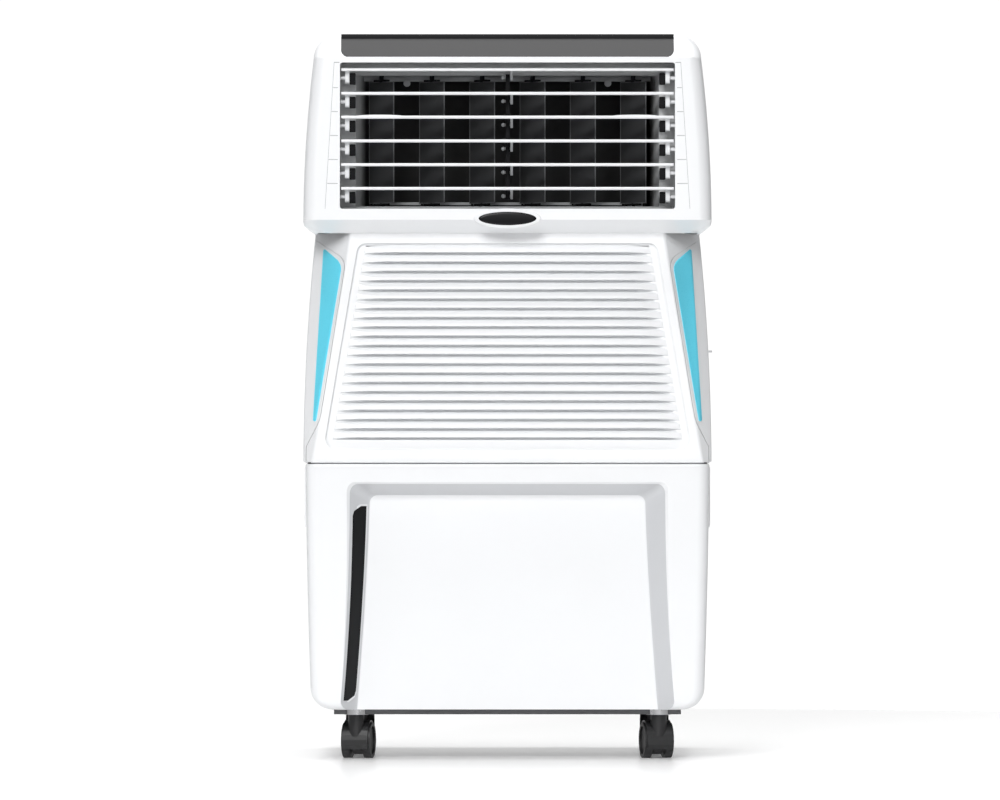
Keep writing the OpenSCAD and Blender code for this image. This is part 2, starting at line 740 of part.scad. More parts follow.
module vane_link() {
    color([0.15, 0.15, 0.15]) difference() {
        block(crank_at(0)[0] - 5, crank_at(vane_count - 1)[0] + 5, crank_at(0)[1] - 4,
            crank_at(0)[1] + 4, duct_low + 0.8, vane_low - 2);
        for (i = [0 : vane_count - 1]) rod_z(crank_at(i)[0], crank_at(i)[1], duct_low, vane_low,
            1.5 + (i == 0 ? pin_play : 0.35));
    }
}

module swing_motor() {
    x = vane_x(vane_count - 1);
    color("silver") {
        rod_z(x, vane_y, duct_low - 26, duct_low - 7.3, 14);
        block(x - 21, x + 21, vane_y - 4, vane_y + 4, duct_low - 8.3, duct_low - 7);
    }
}

module control_board() {
    color("green") {
        block(-60, 60, seam_y - 62, seam_y - 12, plenum_top + wall + 4, plenum_top + wall + 5.6);
        for (x = [-52, 52], y = [-54, -20])
            rod_z(x, seam_y + y, plenum_top + wall, plenum_top + wall + 4, 3);
    }
    color("black") {
        block(-30, 30, seam_y - 55, seam_y - 35, plenum_top + wall + 5.6, plenum_top + wall + 10);
        block(38, 54, seam_y - 40, seam_y - 24, plenum_top + wall + 5.6, plenum_top + wall + 12);
    }
}

// ---- pad, filter and grille ----

slat_pitch = 15;
module rear_grille() {
    slats = floor((grille_top - grille_low - 30) / slat_pitch);
    color("white") {
        difference() {
            block(-grille_half, grille_half, shell_back, back_y, grille_low, grille_top);
            block(-grille_half + 13, grille_half - 13, shell_back - 1, back_y + 1, grille_low + 13,
                grille_top - 13);
            block(-grille_half + 9, grille_half - 9, shell_back - 1, shell_back + 5,
                grille_low + 9, grille_top - 9);
        }
        for (i = [0 : slats - 1]) {
            z = grille_low + 17 + slat_pitch * i;
            yz_prism([[shell_back + 6, z + 4], [shell_back + 6, z + 6.5], [back_y - 1, z + 2.5],
                [back_y - 1, z]], -grille_half + 12, grille_half - 12);
        }
        for (x = [-0.5, 0, 0.5]) block(x * grille_half * 1.05 - 2, x * grille_half * 1.05 + 2,
            shell_back + 5.5, back_y - 4, grille_low + 12, grille_top - 12);
    }
}

module filter_screen() {
    half = grille_half - 9.5;
    low = grille_low + 9.5;
    high = grille_top - 9.5;
    bars = 6;
    color([0.25, 0.25, 0.27]) {
        difference() {
            block(-half, half, shell_back + 0.5, shell_back + 4.5, low, high);
            block(-half + 7, half - 7, shell_back, shell_back + 5, low + 7, high - 7);
        }
        for (i = [1 : bars - 1]) {
            x = -half + 2 * half * i / bars;
            z = low + (high - low) * i / bars;
            block(x - 1.5, x + 1.5, shell_back + 1, shell_back + 4, low + 6, high - 6);
            block(-half + 6, half - 6, shell_back + 1, shell_back + 4, z - 1.5, z + 1.5);
        }
    }
}

module honeycomb_pad() {
    color("burlywood") block(-pad_half, pad_half, pad_front, pad_back, tunnel_low, pad_top);
}

module water_distributor() {
    low = pad_top;
    high = tunnel_top - 2;
    color("gainsboro") difference() {
        union() {
            block(-pad_half, pad_half, pad_front, pad_back, low, high);
            rod_y(hose_x, pad_front - 14, pad_front + 1, tunnel_top - 13, hose_r - 2.1);
        }
        block(-pad_half + 2, pad_half - 2, pad_front + 2, pad_back - 2, low + 2, high - 2);
        rod_y(hose_x, pad_front - 15, pad_front + 5, tunnel_top - 13, hose_r - 4);
        for (i = [-8 : 8]) rod_z(i * pad_half / 9, (pad_front + pad_back) / 2, low - 1, low + 3, 2.5);
    }
}

// ---- pump and hose ----

pump_x = hose_x - 34;
pump_floor = tank_z + wall;
chamber_low = pump_floor + 6;
chamber_h = 12;
hose_low = pump_floor + 84;
module pump_body() {
    color([0.15, 0.2, 0.3]) difference() {
        union() {
            block(pump_x - pump_half, pump_x + pump_half, hose_y - pump_half, hose_y + pump_half,
                pump_floor + 3, pump_floor + 62);
            for (sx = [-1, 1], sy = [-1, 1])
                rod_z(pump_x + sx * (pump_half - 5), hose_y + sy * (pump_half - 5), pump_floor,
                    pump_floor + 4, 4);
            block(pump_x + pump_half - 1, hose_x + hose_r, hose_y - hose_r, hose_y + hose_r,
                chamber_low - 2, chamber_low + chamber_h + 4);
            rod_z(hose_x, hose_y, chamber_low + chamber_h, hose_low + 12, hose_r - 2.1);
        }
        rod_z(pump_x, hose_y, chamber_low, chamber_low + chamber_h, impeller_r + 2);
        rod_z(pump_x, hose_y, pump_floor, chamber_low + 1, impeller_r - 4);
        rod_x(pump_x, hose_x, hose_y, chamber_low + chamber_h / 2, hose_r - 4);
        rod_z(hose_x, hose_y, chamber_low + chamber_h / 2, hose_low + 13, hose_r - 4);
        rod_z(pump_x, hose_y, chamber_low + chamber_h - 1, chamber_low + chamber_h + 16,
            2 + pin_play);
    }
}
module pump_impeller() {
    color("orange") {
        rod_z(pump_x, hose_y, chamber_low + chamber_h - 4, chamber_low + chamber_h - 2, impeller_r);
        rod_z(pump_x, hose_y, chamber_low + 2, chamber_low + chamber_h + 14, 2);
        rod_z(pump_x, hose_y, chamber_low + 2, chamber_low + chamber_h - 2, 4);
        for (a = [0 : 60 : 179]) translate([pump_x, hose_y, 0]) rotate([0, 0, a])
            block(-impeller_r + 1, impeller_r - 1, -0.8, 0.8, chamber_low + 2,
                chamber_low + chamber_h - 3);
    }
}
elbow_z = tunnel_top - 13;
elbow_grow = 1.5;                 // the moulded elbow is this much bigger than the hose
module hose_run(r, over, elbow) {
    rod_z(hose_x, hose_y, hose_low - over, elbow_z, r);
    translate([hose_x, hose_y, elbow_z]) sphere(r + elbow);
    rod_y(hose_x, hose_y, pad_front + over, elbow_z, r);
}
module delivery_hose() {
    color([0.85, 0.85, 0.8]) difference() {
        hose_run(hose_r, 0, elbow_grow);
        hose_run(hose_r - 2, 1, elbow_grow);
    }
}

// ---- blower ----

scroll_x = 0;
scroll_r0 = wheel_r + 10;
scroll_r1 = blower_x1;
scroll_z = deck_top + scroll_r0 + (scroll_r1 - scroll_r0) * 0.71 + 5;
scroll_start = 50;
volute_t = 2.5;
function scroll_radius(a) = scroll_r0 + (scroll_r1 - scroll_r0) * (a - scroll_start) / (360 - scroll_start);
function scroll_outline(g) = concat(
    [for (a = [scroll_start : 10 : 360])
        [scroll_x, scroll_z] + (scroll_radius(a) - g) * [cos(a), sin(a)]],
    [[scroll_r1 - g, plenum_low - wall - 1 + g], [blower_x0 + g, plenum_low - wall - 1 + g]]);
module blower_volute() {
    color("lightgray") difference() {
        xz_prism(scroll_outline(0), volute_front, volute_back);
        xz_prism(scroll_outline(volute_t), volute_front + volute_t, volute_back - volute_t);
        block(blower_x0 + volute_t, blower_x1 - volute_t, volute_front + volute_t,
            volute_back - volute_t, head_z, plenum_low);
        rod_y(scroll_x, volute_back - 5, volute_back + 1, scroll_z, wheel_r - 14);
        rod_y(scroll_x, volute_front - 1, volute_front + 5, scroll_z, 16);
    }
}
module inlet_ring() {
    color("lightgray") translate([scroll_x, volute_back, scroll_z]) rotate([-90, 0, 0])
        rotate_extrude() polygon([[wheel_r - 16, -8], [wheel_r - 14.2, -8], [wheel_r - 14.2, 0],
            [wheel_r + 2, 0], [wheel_r + 2, 3], [wheel_r - 9, 3], [wheel_r - 14.5, 2],
            [wheel_r - 16, -1]]);
}
wheel_front = volute_front + 8;
module blower_wheel() {
    color([0.3, 0.3, 0.35]) translate([scroll_x, 0, scroll_z]) {
        difference() {
            union() {
                rod_y(0, wheel_front, wheel_front + 3, 0, wheel_r);
                rod_y(0, wheel_front, wheel_front + 34, 0, shaft_r + 8);
            }
            rod_y(0, wheel_front - 1, wheel_front + 35, 0, shaft_r + 0.03);
        }
        for (a = [0 : 12 : 359]) rotate([0, a, 0]) translate([wheel_r - 9, 0, 0])
            rotate([0, 30, 0]) block(-6, 6, wheel_front + 2, wheel_front + wheel_w - 3, -0.8, 0.8);
        difference() {
            rod_y(0, wheel_front + wheel_w - 4, wheel_front + wheel_w, 0, wheel_r);
            rod_y(0, wheel_front + wheel_w - 5, wheel_front + wheel_w + 1, 0, wheel_r - 12);
        }
    }
}
motor_back = volute_front - 4;
motor_front = motor_back - 46;
module motor_shaft() {
    color("silver") rod_y(scroll_x, motor_front - 4, wheel_front + 38, scroll_z, shaft_r);
}
module fan_motor() {
    color([0.4, 0.4, 0.42]) difference() {
        union() {
            rod_y(scroll_x, motor_front, motor_back, scroll_z, motor_r);
            for (a = [0 : 30 : 359]) translate([scroll_x, 0, scroll_z]) rotate([0, a, 0])
                block(motor_r - 1, motor_r + 3, motor_front + 8, motor_back - 8, -1, 1);
        }
        rod_y(scroll_x, motor_front - 1, motor_back + 1, scroll_z, shaft_r + pin_play);
    }
}
module motor_bracket() {
    color("silver") difference() {
        union() {
            rod_y(scroll_x, motor_back, volute_front, scroll_z, motor_r + 6);
            for (a = [90, 210, 330]) translate([scroll_x, 0, scroll_z]) rotate([0, a, 0])
                block(0, motor_r + 22, motor_back, volute_front, -9, 9);
        }
        rod_y(scroll_x, motor_back - 1, volute_front + 1, scroll_z, 16);
    }
}
module run_capacitor() {
    color("ivory") rod_y(scroll_x - 78, volute_front - 40, volute_front, scroll_z - 68, 15);
}

// ---- water filling, level and drain ----

module fill_flap() {
    color("white") {
        block(flap_x - flap_t / 2, flap_x + flap_t / 2, chute_y - flap_half + fit,
            chute_y + flap_half - fit, flap_low, flap_low + flap_h - fit);
        rod_y(flap_x, chute_y - flap_half + fit, chute_y + flap_half - fit, flap_low, 2.4);
        rod_y(flap_x, chute_y - flap_half - 4, chute_y + flap_half + 4, flap_low, flap_pin_r);
        block(flap_x, body_w / 2 + 6.8, chute_y - 15, chute_y + 15, flap_low + flap_h - 8,
            flap_low + flap_h - 5.8);
    }
}
chute_floor = mid_z - 20;
chute_top = flap_low + 22;
module fill_chute() {
    color("gainsboro") difference() {
        block(chute_in, chute_in + chute_w, chute_y - chute_half, chute_y + chute_half,
            chute_floor, chute_top);
        block(chute_in + 2, chute_in + chute_w - 2, chute_y - chute_half + 2,
            chute_y + chute_half - 2, chute_floor - 1, chute_top + 1);
    }
}

valve_in = shell_back - wall;
arm_pivot = [inlet_x, valve_in - 34, inlet_z];
arm_len = 88;
float_r = 20;
arm_droop = 28;
module float_valve() {
    color("silver") difference() {
        union() {
            rod_y(inlet_x, valve_in - 24, shell_back + 3 + inlet_len, inlet_z, inlet_r);
            rod_y(inlet_x, tank_back(inlet_z) - wall - 3, tank_back(inlet_z) - wall - 0.3, inlet_z,
                inlet_r + 5);
            rod_y(inlet_x, shell_back, shell_back + 3, inlet_z, inlet_r + 4);
            for (s = [-1, 1]) translate([inlet_x, 0, inlet_z])
                block(s * 6 - 1.5, s * 6 + 1.5, valve_in - 40, valve_in - 23, -6, 6);
        }
        rod_y(inlet_x, valve_in - 22, back_y + 1, inlet_z, inlet_r - 3);
        rod_x(inlet_x - 10, inlet_x + 10, arm_pivot[1], arm_pivot[2], 2 + pin_play);
    }
}
module float_arm() {
    color("tomato") translate(arm_pivot) rotate([arm_droop, 0, 0]) {
        rod_x(-7.3, 7.3, 0, 0, 2);
        rod_x(-3.8, 3.8, 0, 0, 4.5);
        block(-2, 2, -arm_len, 0, -2, 2);
        translate([0, -arm_len, 0]) sphere(r = float_r);
    }
}

plug_face = shell_back + 0.2;
module drain_plug() {
    color([0.2, 0.2, 0.2]) difference() {
        union() {
            rod_y(drain_x, shell_back - 16, plug_face + 0.1, drain_z, drain_r);
            rod_y(drain_x, plug_face, plug_face + 5, drain_z, drain_r + 4);
            block(drain_x - 9, drain_x + 9, plug_face + 4, plug_face + 12, drain_z - 2.5,
                drain_z + 2.5);
        }
        rod_y(drain_x, shell_back - 17, shell_back - 3, drain_z, drain_r - 3);
    }
}

module cord_gland() {
    color([0.1, 0.1, 0.1]) difference() {
        union() {
            rod_y(gland_x, shell_back - 12, shell_back + 10, gland_z, cord_r + 3);
            rod_y(gland_x, shell_back, shell_back + 4, gland_z, cord_r + 6);
            rod_y(gland_x, shell_back - 7, shell_back - wall, gland_z, cord_r + 5);
        }
        rod_y(gland_x, shell_back - 13, shell_back + 11, gland_z, cord_r);
    }
}

module housing_screws() {
    color("silver") for (p = screw_places) difference() {
        union() {
            rod_y(p[0], shell_back - 11, shell_back + 0.5, p[1], screw_r - 0.05);
            rod_y(p[0], shell_back, shell_back + 2.2, p[1], 3.6);
        }
        for (a = [0, 90]) translate([p[0], 0, p[1]]) rotate([0, a, 0])
            block(-2, 2, shell_back + 1, shell_back + 3, -0.5, 0.5);
    }
}

water_tank();
base_plate();
castor_sockets();
level_window();
side_handles();
castor_hood(0);  // castor_hood_1
castor_hood(1);  // castor_hood_2
castor_hood(2);  // castor_hood_3
castor_hood(3);  // castor_hood_4
castor_wheels(0);  // castor_wheels_1
castor_wheels(1);  // castor_wheels_2
castor_wheels(2);  // castor_wheels_3
castor_wheels(3);  // castor_wheels_4
pump_deck();
body_shell();
pad_frame();
front_panel();
accent_inserts();
head_bezel();
top_cover();
control_fascia();
control_board();
badge_plate();
rear_grille();
filter_screen();
honeycomb_pad();
water_distributor();
pump_body();
pump_impeller();
delivery_hose();
blower_volute();
inlet_ring();
blower_wheel();
motor_shaft();
fan_motor();
motor_bracket();
run_capacitor();
air_plenum();
louvre(0);  // louvre_1
louvre(1);  // louvre_2
louvre(2);  // louvre_3
louvre(3);  // louvre_4
louvre(4);  // louvre_5
louvre(5);  // louvre_6
louvre_link();
vane(0);  // vane_1
vane(1);  // vane_2
vane(2);  // vane_3
vane(3);  // vane_4
vane(4);  // vane_5
vane(5);  // vane_6
vane_link();
swing_motor();
fill_flap();
fill_chute();
float_valve();
float_arm();
drain_plug();
cord_gland();
housing_screws();
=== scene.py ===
"""Looks of the evaporative air cooler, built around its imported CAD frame.

Lengths are in millimetres up to the point where a mesh or a modifier is made. X runs to the right seen
from the front, Y to the back and Z up.
"""
import json
import math

import bmesh
import bpy
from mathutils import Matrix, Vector


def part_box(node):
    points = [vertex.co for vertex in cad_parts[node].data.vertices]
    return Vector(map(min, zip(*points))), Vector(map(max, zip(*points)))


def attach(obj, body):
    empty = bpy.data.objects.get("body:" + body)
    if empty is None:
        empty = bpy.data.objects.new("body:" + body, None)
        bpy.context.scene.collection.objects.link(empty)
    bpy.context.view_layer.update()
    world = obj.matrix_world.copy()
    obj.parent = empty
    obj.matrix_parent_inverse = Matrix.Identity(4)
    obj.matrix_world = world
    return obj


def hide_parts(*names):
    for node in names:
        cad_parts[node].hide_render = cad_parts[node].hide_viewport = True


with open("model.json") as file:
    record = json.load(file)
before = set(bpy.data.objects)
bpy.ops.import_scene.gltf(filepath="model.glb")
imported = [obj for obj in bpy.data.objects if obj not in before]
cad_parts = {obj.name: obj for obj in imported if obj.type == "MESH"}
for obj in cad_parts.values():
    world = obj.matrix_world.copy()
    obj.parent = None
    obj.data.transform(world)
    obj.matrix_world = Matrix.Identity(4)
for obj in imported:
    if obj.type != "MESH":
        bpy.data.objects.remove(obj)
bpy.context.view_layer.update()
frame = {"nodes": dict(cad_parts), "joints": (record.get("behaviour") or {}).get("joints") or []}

MM = 0.001


def box(node):
    """Lowest and highest corner of a CAD node in millimetres."""
    low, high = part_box(node)
    return low / MM, high / MM


# ---- sizes taken from the frame ----

TANK_LOW, TANK_HIGH = box("water_tank")
PANEL_LOW = box("front_panel")[0]
COVER_HIGH = box("top_cover")[1]
BEZEL_LOW, BEZEL_HIGH = box("head_bezel")
STRIP_HIGH = box("control_fascia")[1]
BADGE_LOW, BADGE_HIGH = box("badge_plate")
GRILLE_LOW, GRILLE_HIGH = box("rear_grille")
FLAP_LOW, FLAP_HIGH = box("fill_flap")
HANDLE_LOW, HANDLE_HIGH = box("side_handles")
SHELL_HALF = COVER_HIGH.x
TANK_Z, MID_Z, HEAD_Z, TOP_Z = TANK_LOW.z, PANEL_LOW.z, BEZEL_LOW.z, BEZEL_HIGH.z
FRONT_Y = BADGE_LOW.y
BACK_Y = TANK_HIGH.y
WALL = 3.0
BEYOND = 300.0                    # past the whole object, for cutters

# ---- small mesh tools ----


def raw_object(name, verts, faces):
    """Object from points in millimetres, with its faces turned outward."""
    mesh = bpy.data.meshes.new(name)
    mesh.from_pydata([(x * MM, y * MM, z * MM) for x, y, z in verts], [], faces)
    made = bmesh.new()
    made.from_mesh(mesh)
    bmesh.ops.recalc_face_normals(made, faces=made.faces)
    made.to_mesh(mesh)
    made.free()
    obj = bpy.data.objects.new(name, mesh)
    bpy.context.scene.collection.objects.link(obj)
    return obj


def shade(obj, angle=32):
    """Smooth shading with sharp edges above the angle."""
    for face in obj.data.polygons:
        face.use_smooth = True
    obj.data.set_sharp_from_angle(angle=math.radians(angle))


def round_edges(obj, width, segments, angle):
    """Bevel on every edge that is sharper than the angle."""
    bevel = obj.modifiers.new("round_edges", "BEVEL")
    bevel.width = width * MM
    bevel.segments = segments
    bevel.limit_method = "ANGLE"
    bevel.angle_limit = math.radians(angle)
    return bevel


def soften(obj, width, segments=3, angle=32):
    """Rounds the sharp edges and keeps the flat faces flat."""
    shade(obj, angle)
    round_edges(obj, width, segments, angle)
    even = obj.modifiers.new("even_normals", "WEIGHTED_NORMAL")
    even.keep_sharp = False
    return obj


def combine(obj, others, operation="DIFFERENCE"):
    """Boolean with each of the others in turn. The others are removed."""
    for other in others:
        step = obj.modifiers.new("boolean", "BOOLEAN")
        step.operation = operation
        step.solver = "EXACT"
        step.object = other
        graph = bpy.context.evaluated_depsgraph_get()
        mesh = bpy.data.meshes.new_from_object(obj.evaluated_get(graph))
        obj.modifiers.clear()
        obj.data = mesh
        bpy.data.objects.remove(other)
    return obj


def twin(obj, name):
    """Copy of an object with a mesh of its own."""
    copy = obj.copy()
    copy.data = obj.data.copy()
    copy.name = name
    bpy.context.scene.collection.objects.link(copy)
    return copy


def filleted(corners, steps=6):
    """Closed outline through (a, b, radius) corners, with each corner rounded."""
    points = []
    count = len(corners)
    for i, (a, b, radius) in enumerate(corners):
        here = Vector((a, b))
        back = (Vector(corners[i - 1][:2]) - here).normalized()
        ahead = (Vector(corners[(i + 1) % count][:2]) - here).normalized()
        if radius <= 0:
            points.append((a, b))
            continue
        half = math.acos(max(-1, min(1, back.dot(ahead)))) / 2
        reach = radius / math.tan(half)
        start, end = here + back * reach, here + ahead * reach
        centre = here + (back + ahead).normalized() * (radius / math.sin(half))
        first, last = start - centre, end - centre
        turn = first.angle_signed(last)
        for k in range(steps + 1):
            spoke = first.copy()
            angle = -turn * k / steps
            points.append(
                (
                    centre.x + spoke.x * math.cos(angle) - spoke.y * math.sin(angle),
                    centre.y + spoke.x * math.sin(angle) + spoke.y * math.cos(angle),
                )
            )
    return points


def loft(name, rings):
    """Closed solid through rings of equal length, capped at both ends."""
    size = len(rings[0])
    verts = [p for ring in rings for p in ring]
    faces = [list(range(size))[::-1], [(len(rings) - 1) * size + i for i in range(size)]]
    for k in range(len(rings) - 1):
        for i in range(size):
            j = (i + 1) % size
            faces.append((k * size + i, k * size + j, (k + 1) * size + j, (k + 1) * size + i))
    return raw_object(name, verts, faces)


def slab(name, front, back):
    """Closed thin solid between two grids of points, given as rows of equal length."""
    rows, size = len(front), len(front[0])
    offset = rows * size
    verts = [p for row in front + back for p in row]
    faces = []
    for r in range(rows - 1):
        for i in range(size - 1):
            a = r * size + i
            faces.append((a, a + 1, a + 1 + size, a + size))
            faces.append((offset + a + size, offset + a + 1 + size, offset + a + 1, offset + a))
        for a in (r * size, r * size + size - 1):
            faces.append((a, a + size, offset + a + size, offset + a))
    for r in (0, rows - 1):
        for a in range(r * size, r * size + size - 1):
            faces.append((a, a + 1, offset + a + 1, offset + a))
    return raw_object(name, verts, faces)


def prism_y(name, outline, y0, y1):
    """Outline in X and Z, pushed from y0 to y1."""
    return loft(name, [[(a, y, b) for a, b in outline] for y in (y0, y1)])


def block(name, x0, x1, y0, y1, z0, z1):
    """Box between two corners, as a piece of a larger one or as a cutter."""
    return prism_y(name, [(x0, z0), (x1, z0), (x1, z1), (x0, z1)], y0, y1)


def joined(name, parts):
    """One object from several that don't need a boolean."""
    mesh = bmesh.new()
    for part in parts:
        mesh.from_mesh(part.data)
        bpy.data.objects.remove(part)
    data = bpy.data.meshes.new(name)
    mesh.to_mesh(data)
    mesh.free()
    obj = bpy.data.objects.new(name, data)
    bpy.context.scene.collection.objects.link(obj)
    return obj


def mirrored(points):
    """Right half of an outline with its left half added."""
    return points + [(-a, b) for a, b in reversed(points)]


def disc(name, x, y, z, radius, length, axis="y", steps=48):
    """Round bar from the centre of its first end, along x, y or z."""
    rings = []
    for along in (0, length):
        ring = []
        for i in range(steps):
            turn = 2 * math.pi * i / steps
            c, s = radius * math.cos(turn), radius * math.sin(turn)
            places = {"x": (x + along, y + c, z + s), "y": (x + c, y + along, z + s),
                      "z": (x + c, y + s, z + along)}
            ring.append(places[axis])
        rings.append(ring)
    return loft(name, rings)


def spread(start, end, steps):
    """Evenly spaced values from start to end, with both."""
    return [start + (end - start) * i / steps for i in range(steps + 1)]


# ---- materials ----


def material(name, colour, roughness, grain=900, grain_height=0.08, metallic=0.0, coat=0.0, drift=0.03,
             shine=0.5):
    """Moulded or painted surface: fine grain in its height and gloss, and a slow drift of its colour."""
    mat = bpy.data.materials.new(name)
    mat.use_nodes = True
    nodes, links = mat.node_tree.nodes, mat.node_tree.links
    shader = nodes["Principled BSDF"]
    shader.inputs["Metallic"].default_value = metallic
    shader.inputs["Coat Weight"].default_value = coat
    shader.inputs["Specular IOR Level"].default_value = shine
    shader.inputs["Coat Roughness"].default_value = 0.12
    place = nodes.new("ShaderNodeTexCoord")
    fine = nodes.new("ShaderNodeTexNoise")
    fine.inputs["Scale"].default_value = grain
    fine.inputs["Detail"].default_value = 4
    broad = nodes.new("ShaderNodeTexNoise")
    broad.inputs["Scale"].default_value = 7
    broad.inputs["Detail"].default_value = 3
    links.new(place.outputs["Object"], fine.inputs["Vector"])
    links.new(place.outputs["Object"], broad.inputs["Vector"])
    tint = nodes.new("ShaderNodeValToRGB")
    tint.color_ramp.elements[0].position = 0.3
    tint.color_ramp.elements[1].position = 0.7
    tint.color_ramp.elements[0].color = [c * (1 - drift) for c in colour] + [1]
    tint.color_ramp.elements[1].color = [min(1, c * (1 + drift)) for c in colour] + [1]
    links.new(broad.outputs["Fac"], tint.inputs["Fac"])
    links.new(tint.outputs["Color"], shader.inputs["Base Color"])
    gloss = nodes.new("ShaderNodeMapRange")
    gloss.inputs["To Min"].default_value = roughness * 0.88
    gloss.inputs["To Max"].default_value = min(1, roughness * 1.14)
    links.new(fine.outputs["Fac"], gloss.inputs["Value"])
    links.new(gloss.outputs["Result"], shader.inputs["Roughness"])
    bump = nodes.new("ShaderNodeBump")
    bump.inputs["Strength"].default_value = grain_height
    bump.inputs["Distance"].default_value = 0.0004
    links.new(fine.outputs["Fac"], bump.inputs["Height"])
    links.new(bump.outputs["Normal"], shader.inputs["Normal"])
    return mat


def painted_shade_duct():
    """Duct plastic with painted shade: lighter at its mouth and darker deep inside, where the duct lies in
    shadow.
    """
    mat = material("duct_painted_shade", (0.2, 0.205, 0.21), 0.55, grain_height=0.15, drift=0.05)
    nodes, links = mat.node_tree.nodes, mat.node_tree.links
    shader = nodes["Principled BSDF"]
    place = nodes.new("ShaderNodeTexCoord")
    split = nodes.new("ShaderNodeSeparateXYZ")
    depth = nodes.new("ShaderNodeMapRange")
    depth.inputs["From Min"].default_value = (FRONT_Y + 80) * MM
    depth.inputs["From Max"].default_value = (FRONT_Y + 112) * MM
    # painted shade: the colour runs from pale grey at the mouth to near black deep inside the duct
    shade_ramp = nodes.new("ShaderNodeValToRGB")
    shade_ramp.color_ramp.elements[0].color = (0.62, 0.625, 0.63, 1)
    shade_ramp.color_ramp.elements[1].color = (0.02, 0.0205, 0.021, 1)
    links.new(place.outputs["Object"], split.inputs["Vector"])
    links.new(split.outputs["Y"], depth.inputs["Value"])
    links.new(depth.outputs["Result"], shade_ramp.inputs["Fac"])
    links.new(shade_ramp.outputs["Color"], shader.inputs["Base Color"])
    return mat


# pale grey that stands in for painted shade on the walls of the tank's front recess
RECESS_PAINTED_SHADE = material("recess_painted_shade", (0.6, 0.61, 0.63), 0.32, coat=0.2, drift=0.01)
TRIM_GREY = material("trim_grey", (0.42, 0.43, 0.44), 0.5, drift=0.03)
WHITE = material("white_plastic", (0.86, 0.87, 0.885), 0.3, coat=0.25, drift=0.006)
CHARCOAL = material("charcoal_plastic", (0.034, 0.034, 0.035), 0.5, coat=0.0, drift=0.04)
DARK_MATTE = material("dark_matte", (0.012, 0.012, 0.013), 0.85, drift=0.1, shine=0.1)
BLACK = material("black_plastic", (0.012, 0.012, 0.013), 0.42, drift=0.1)
GLOSS_BLACK = material("gloss_black", (0.006, 0.006, 0.007), 0.3, grain_height=0.02, drift=0.05, shine=0.2)
VANE = material("vane_plastic", (0.042, 0.043, 0.045), 0.5, grain_height=0.12, drift=0.06)
EDGE_LIGHT = material("ledge_grey", (0.5, 0.51, 0.52), 0.5, drift=0.04)
EDGE_GREY = material("grey_plastic", (0.16, 0.163, 0.168), 0.4, drift=0.04)
LIGHT_GREY = material("light_grey_plastic", (0.55, 0.56, 0.57), 0.35, drift=0.03)
AQUA = material("aqua_plastic", (0.15, 0.78, 1.0), 0.28, coat=0.4, grain_height=0.04, drift=0.01)
BASE = material("base_plastic", (0.1, 0.102, 0.106), 0.5, grain_height=0.14, drift=0.05)
TYRE = material("wheel_rubber", (0.014, 0.014, 0.015), 0.5, grain_height=0.2, drift=0.12)
STEEL = material("plain_steel", (0.62, 0.62, 0.63), 0.28, metallic=1.0, grain=300, drift=0.05)
BRASS = material("turned_brass", (0.72, 0.52, 0.22), 0.25, metallic=1.0, grain=300, drift=0.05)
NATURAL = material("natural_plastic", (0.6, 0.62, 0.63), 0.4, drift=0.02)
PAD = material("wet_pad", (0.35, 0.22, 0.1), 0.8, grain=260, grain_height=0.6, drift=0.22)
NET = material("filter_net", (0.02, 0.021, 0.023), 0.6, grain_height=0.3, drift=0.1)
HOSE = material("hose_vinyl", (0.6, 0.6, 0.55), 0.35, drift=0.04)
ENAMEL = material("motor_enamel", (0.06, 0.062, 0.066), 0.45, grain_height=0.25, drift=0.08)
BOARD = material("circuit_board", (0.012, 0.11, 0.035), 0.35, grain=500, drift=0.2)
FLOAT = material("float_red", (0.6, 0.06, 0.03), 0.3, drift=0.05)
IVORY = material("ivory_case", (0.6, 0.57, 0.48), 0.4, drift=0.04)


def dress(obj, mat, body="cabinet", replaces=()):
    """Gives a piece its finish, the body it rides on, and the CAD nodes it stands for."""
    obj.data.materials.clear()
    obj.data.materials.append(mat)
    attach(obj, body)
    if replaces:
        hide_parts(*replaces)
    return obj


def keep(node, mat, edge=0.0):
    """A CAD node that is shown as it is, with a finish and slightly rounded edges."""
    obj = frame["nodes"][node]
    obj.data.materials.clear()
    obj.data.materials.append(mat)
    if edge:
        round_edges(obj, edge, 2, 40).harden_normals = True


# ---- shell profiles ----


def swell(low, high, bulge, t):
    """Value that runs from low to high as t goes from 0 to 1, and bulges by that much half way."""
    return low + (high - low) * t + 4 * bulge * t * (1 - t)


def foot_inset(z, radius):
    """How far a rounded foot edge of that radius is set in at height z above it."""
    rise = max(0.0, min(radius, z - TANK_Z))
    return radius - math.sqrt(radius ** 2 - (radius - rise) ** 2)


TANK_HALF_TOP = TANK_HIGH.x
TANK_HALF_LOW = TANK_HALF_TOP - 6.5
TANK_FOOT_R = 24
TANK_TOE_R = 12                   # rounding of the foot at the front and the back
TANK_DRAFT = 4                    # how far the front and the back lean in toward the foot
TANK_FRONT = FRONT_Y + 8
TANK_FRONT_R = 13
BACK_R = 22


def tank_ring(z, inset=0.0):
    """Outline of the tank at height z, moved in by the inset."""
    t = (z - TANK_Z) / (MID_Z - TANK_Z)
    half = swell(TANK_HALF_LOW, TANK_HALF_TOP, 1, t) - foot_inset(z, TANK_FOOT_R) - inset
    end_inset = TANK_DRAFT * (1 - t) + foot_inset(z, TANK_TOE_R) + inset
    front, back = TANK_FRONT + end_inset, BACK_Y - end_inset
    front_r, back_r = TANK_FRONT_R - inset, BACK_R - inset
    shape = [(-half, front, front_r), (half, front, front_r), (half, back, back_r), (-half, back, back_r)]
    return [(x, y, z) for x, y in filleted(shape, 8)]


PANEL_EDGE_LOW = SHELL_HALF - 10
PANEL_EDGE_TOP = SHELL_HALF - 53.5
MID_HALF_TOP = SHELL_HALF - 12.5
MID_FRONT_LOW = FRONT_Y + 6
MID_FRONT_TOP = FRONT_Y + 32
CHAMFER_RUN = (36, 48)


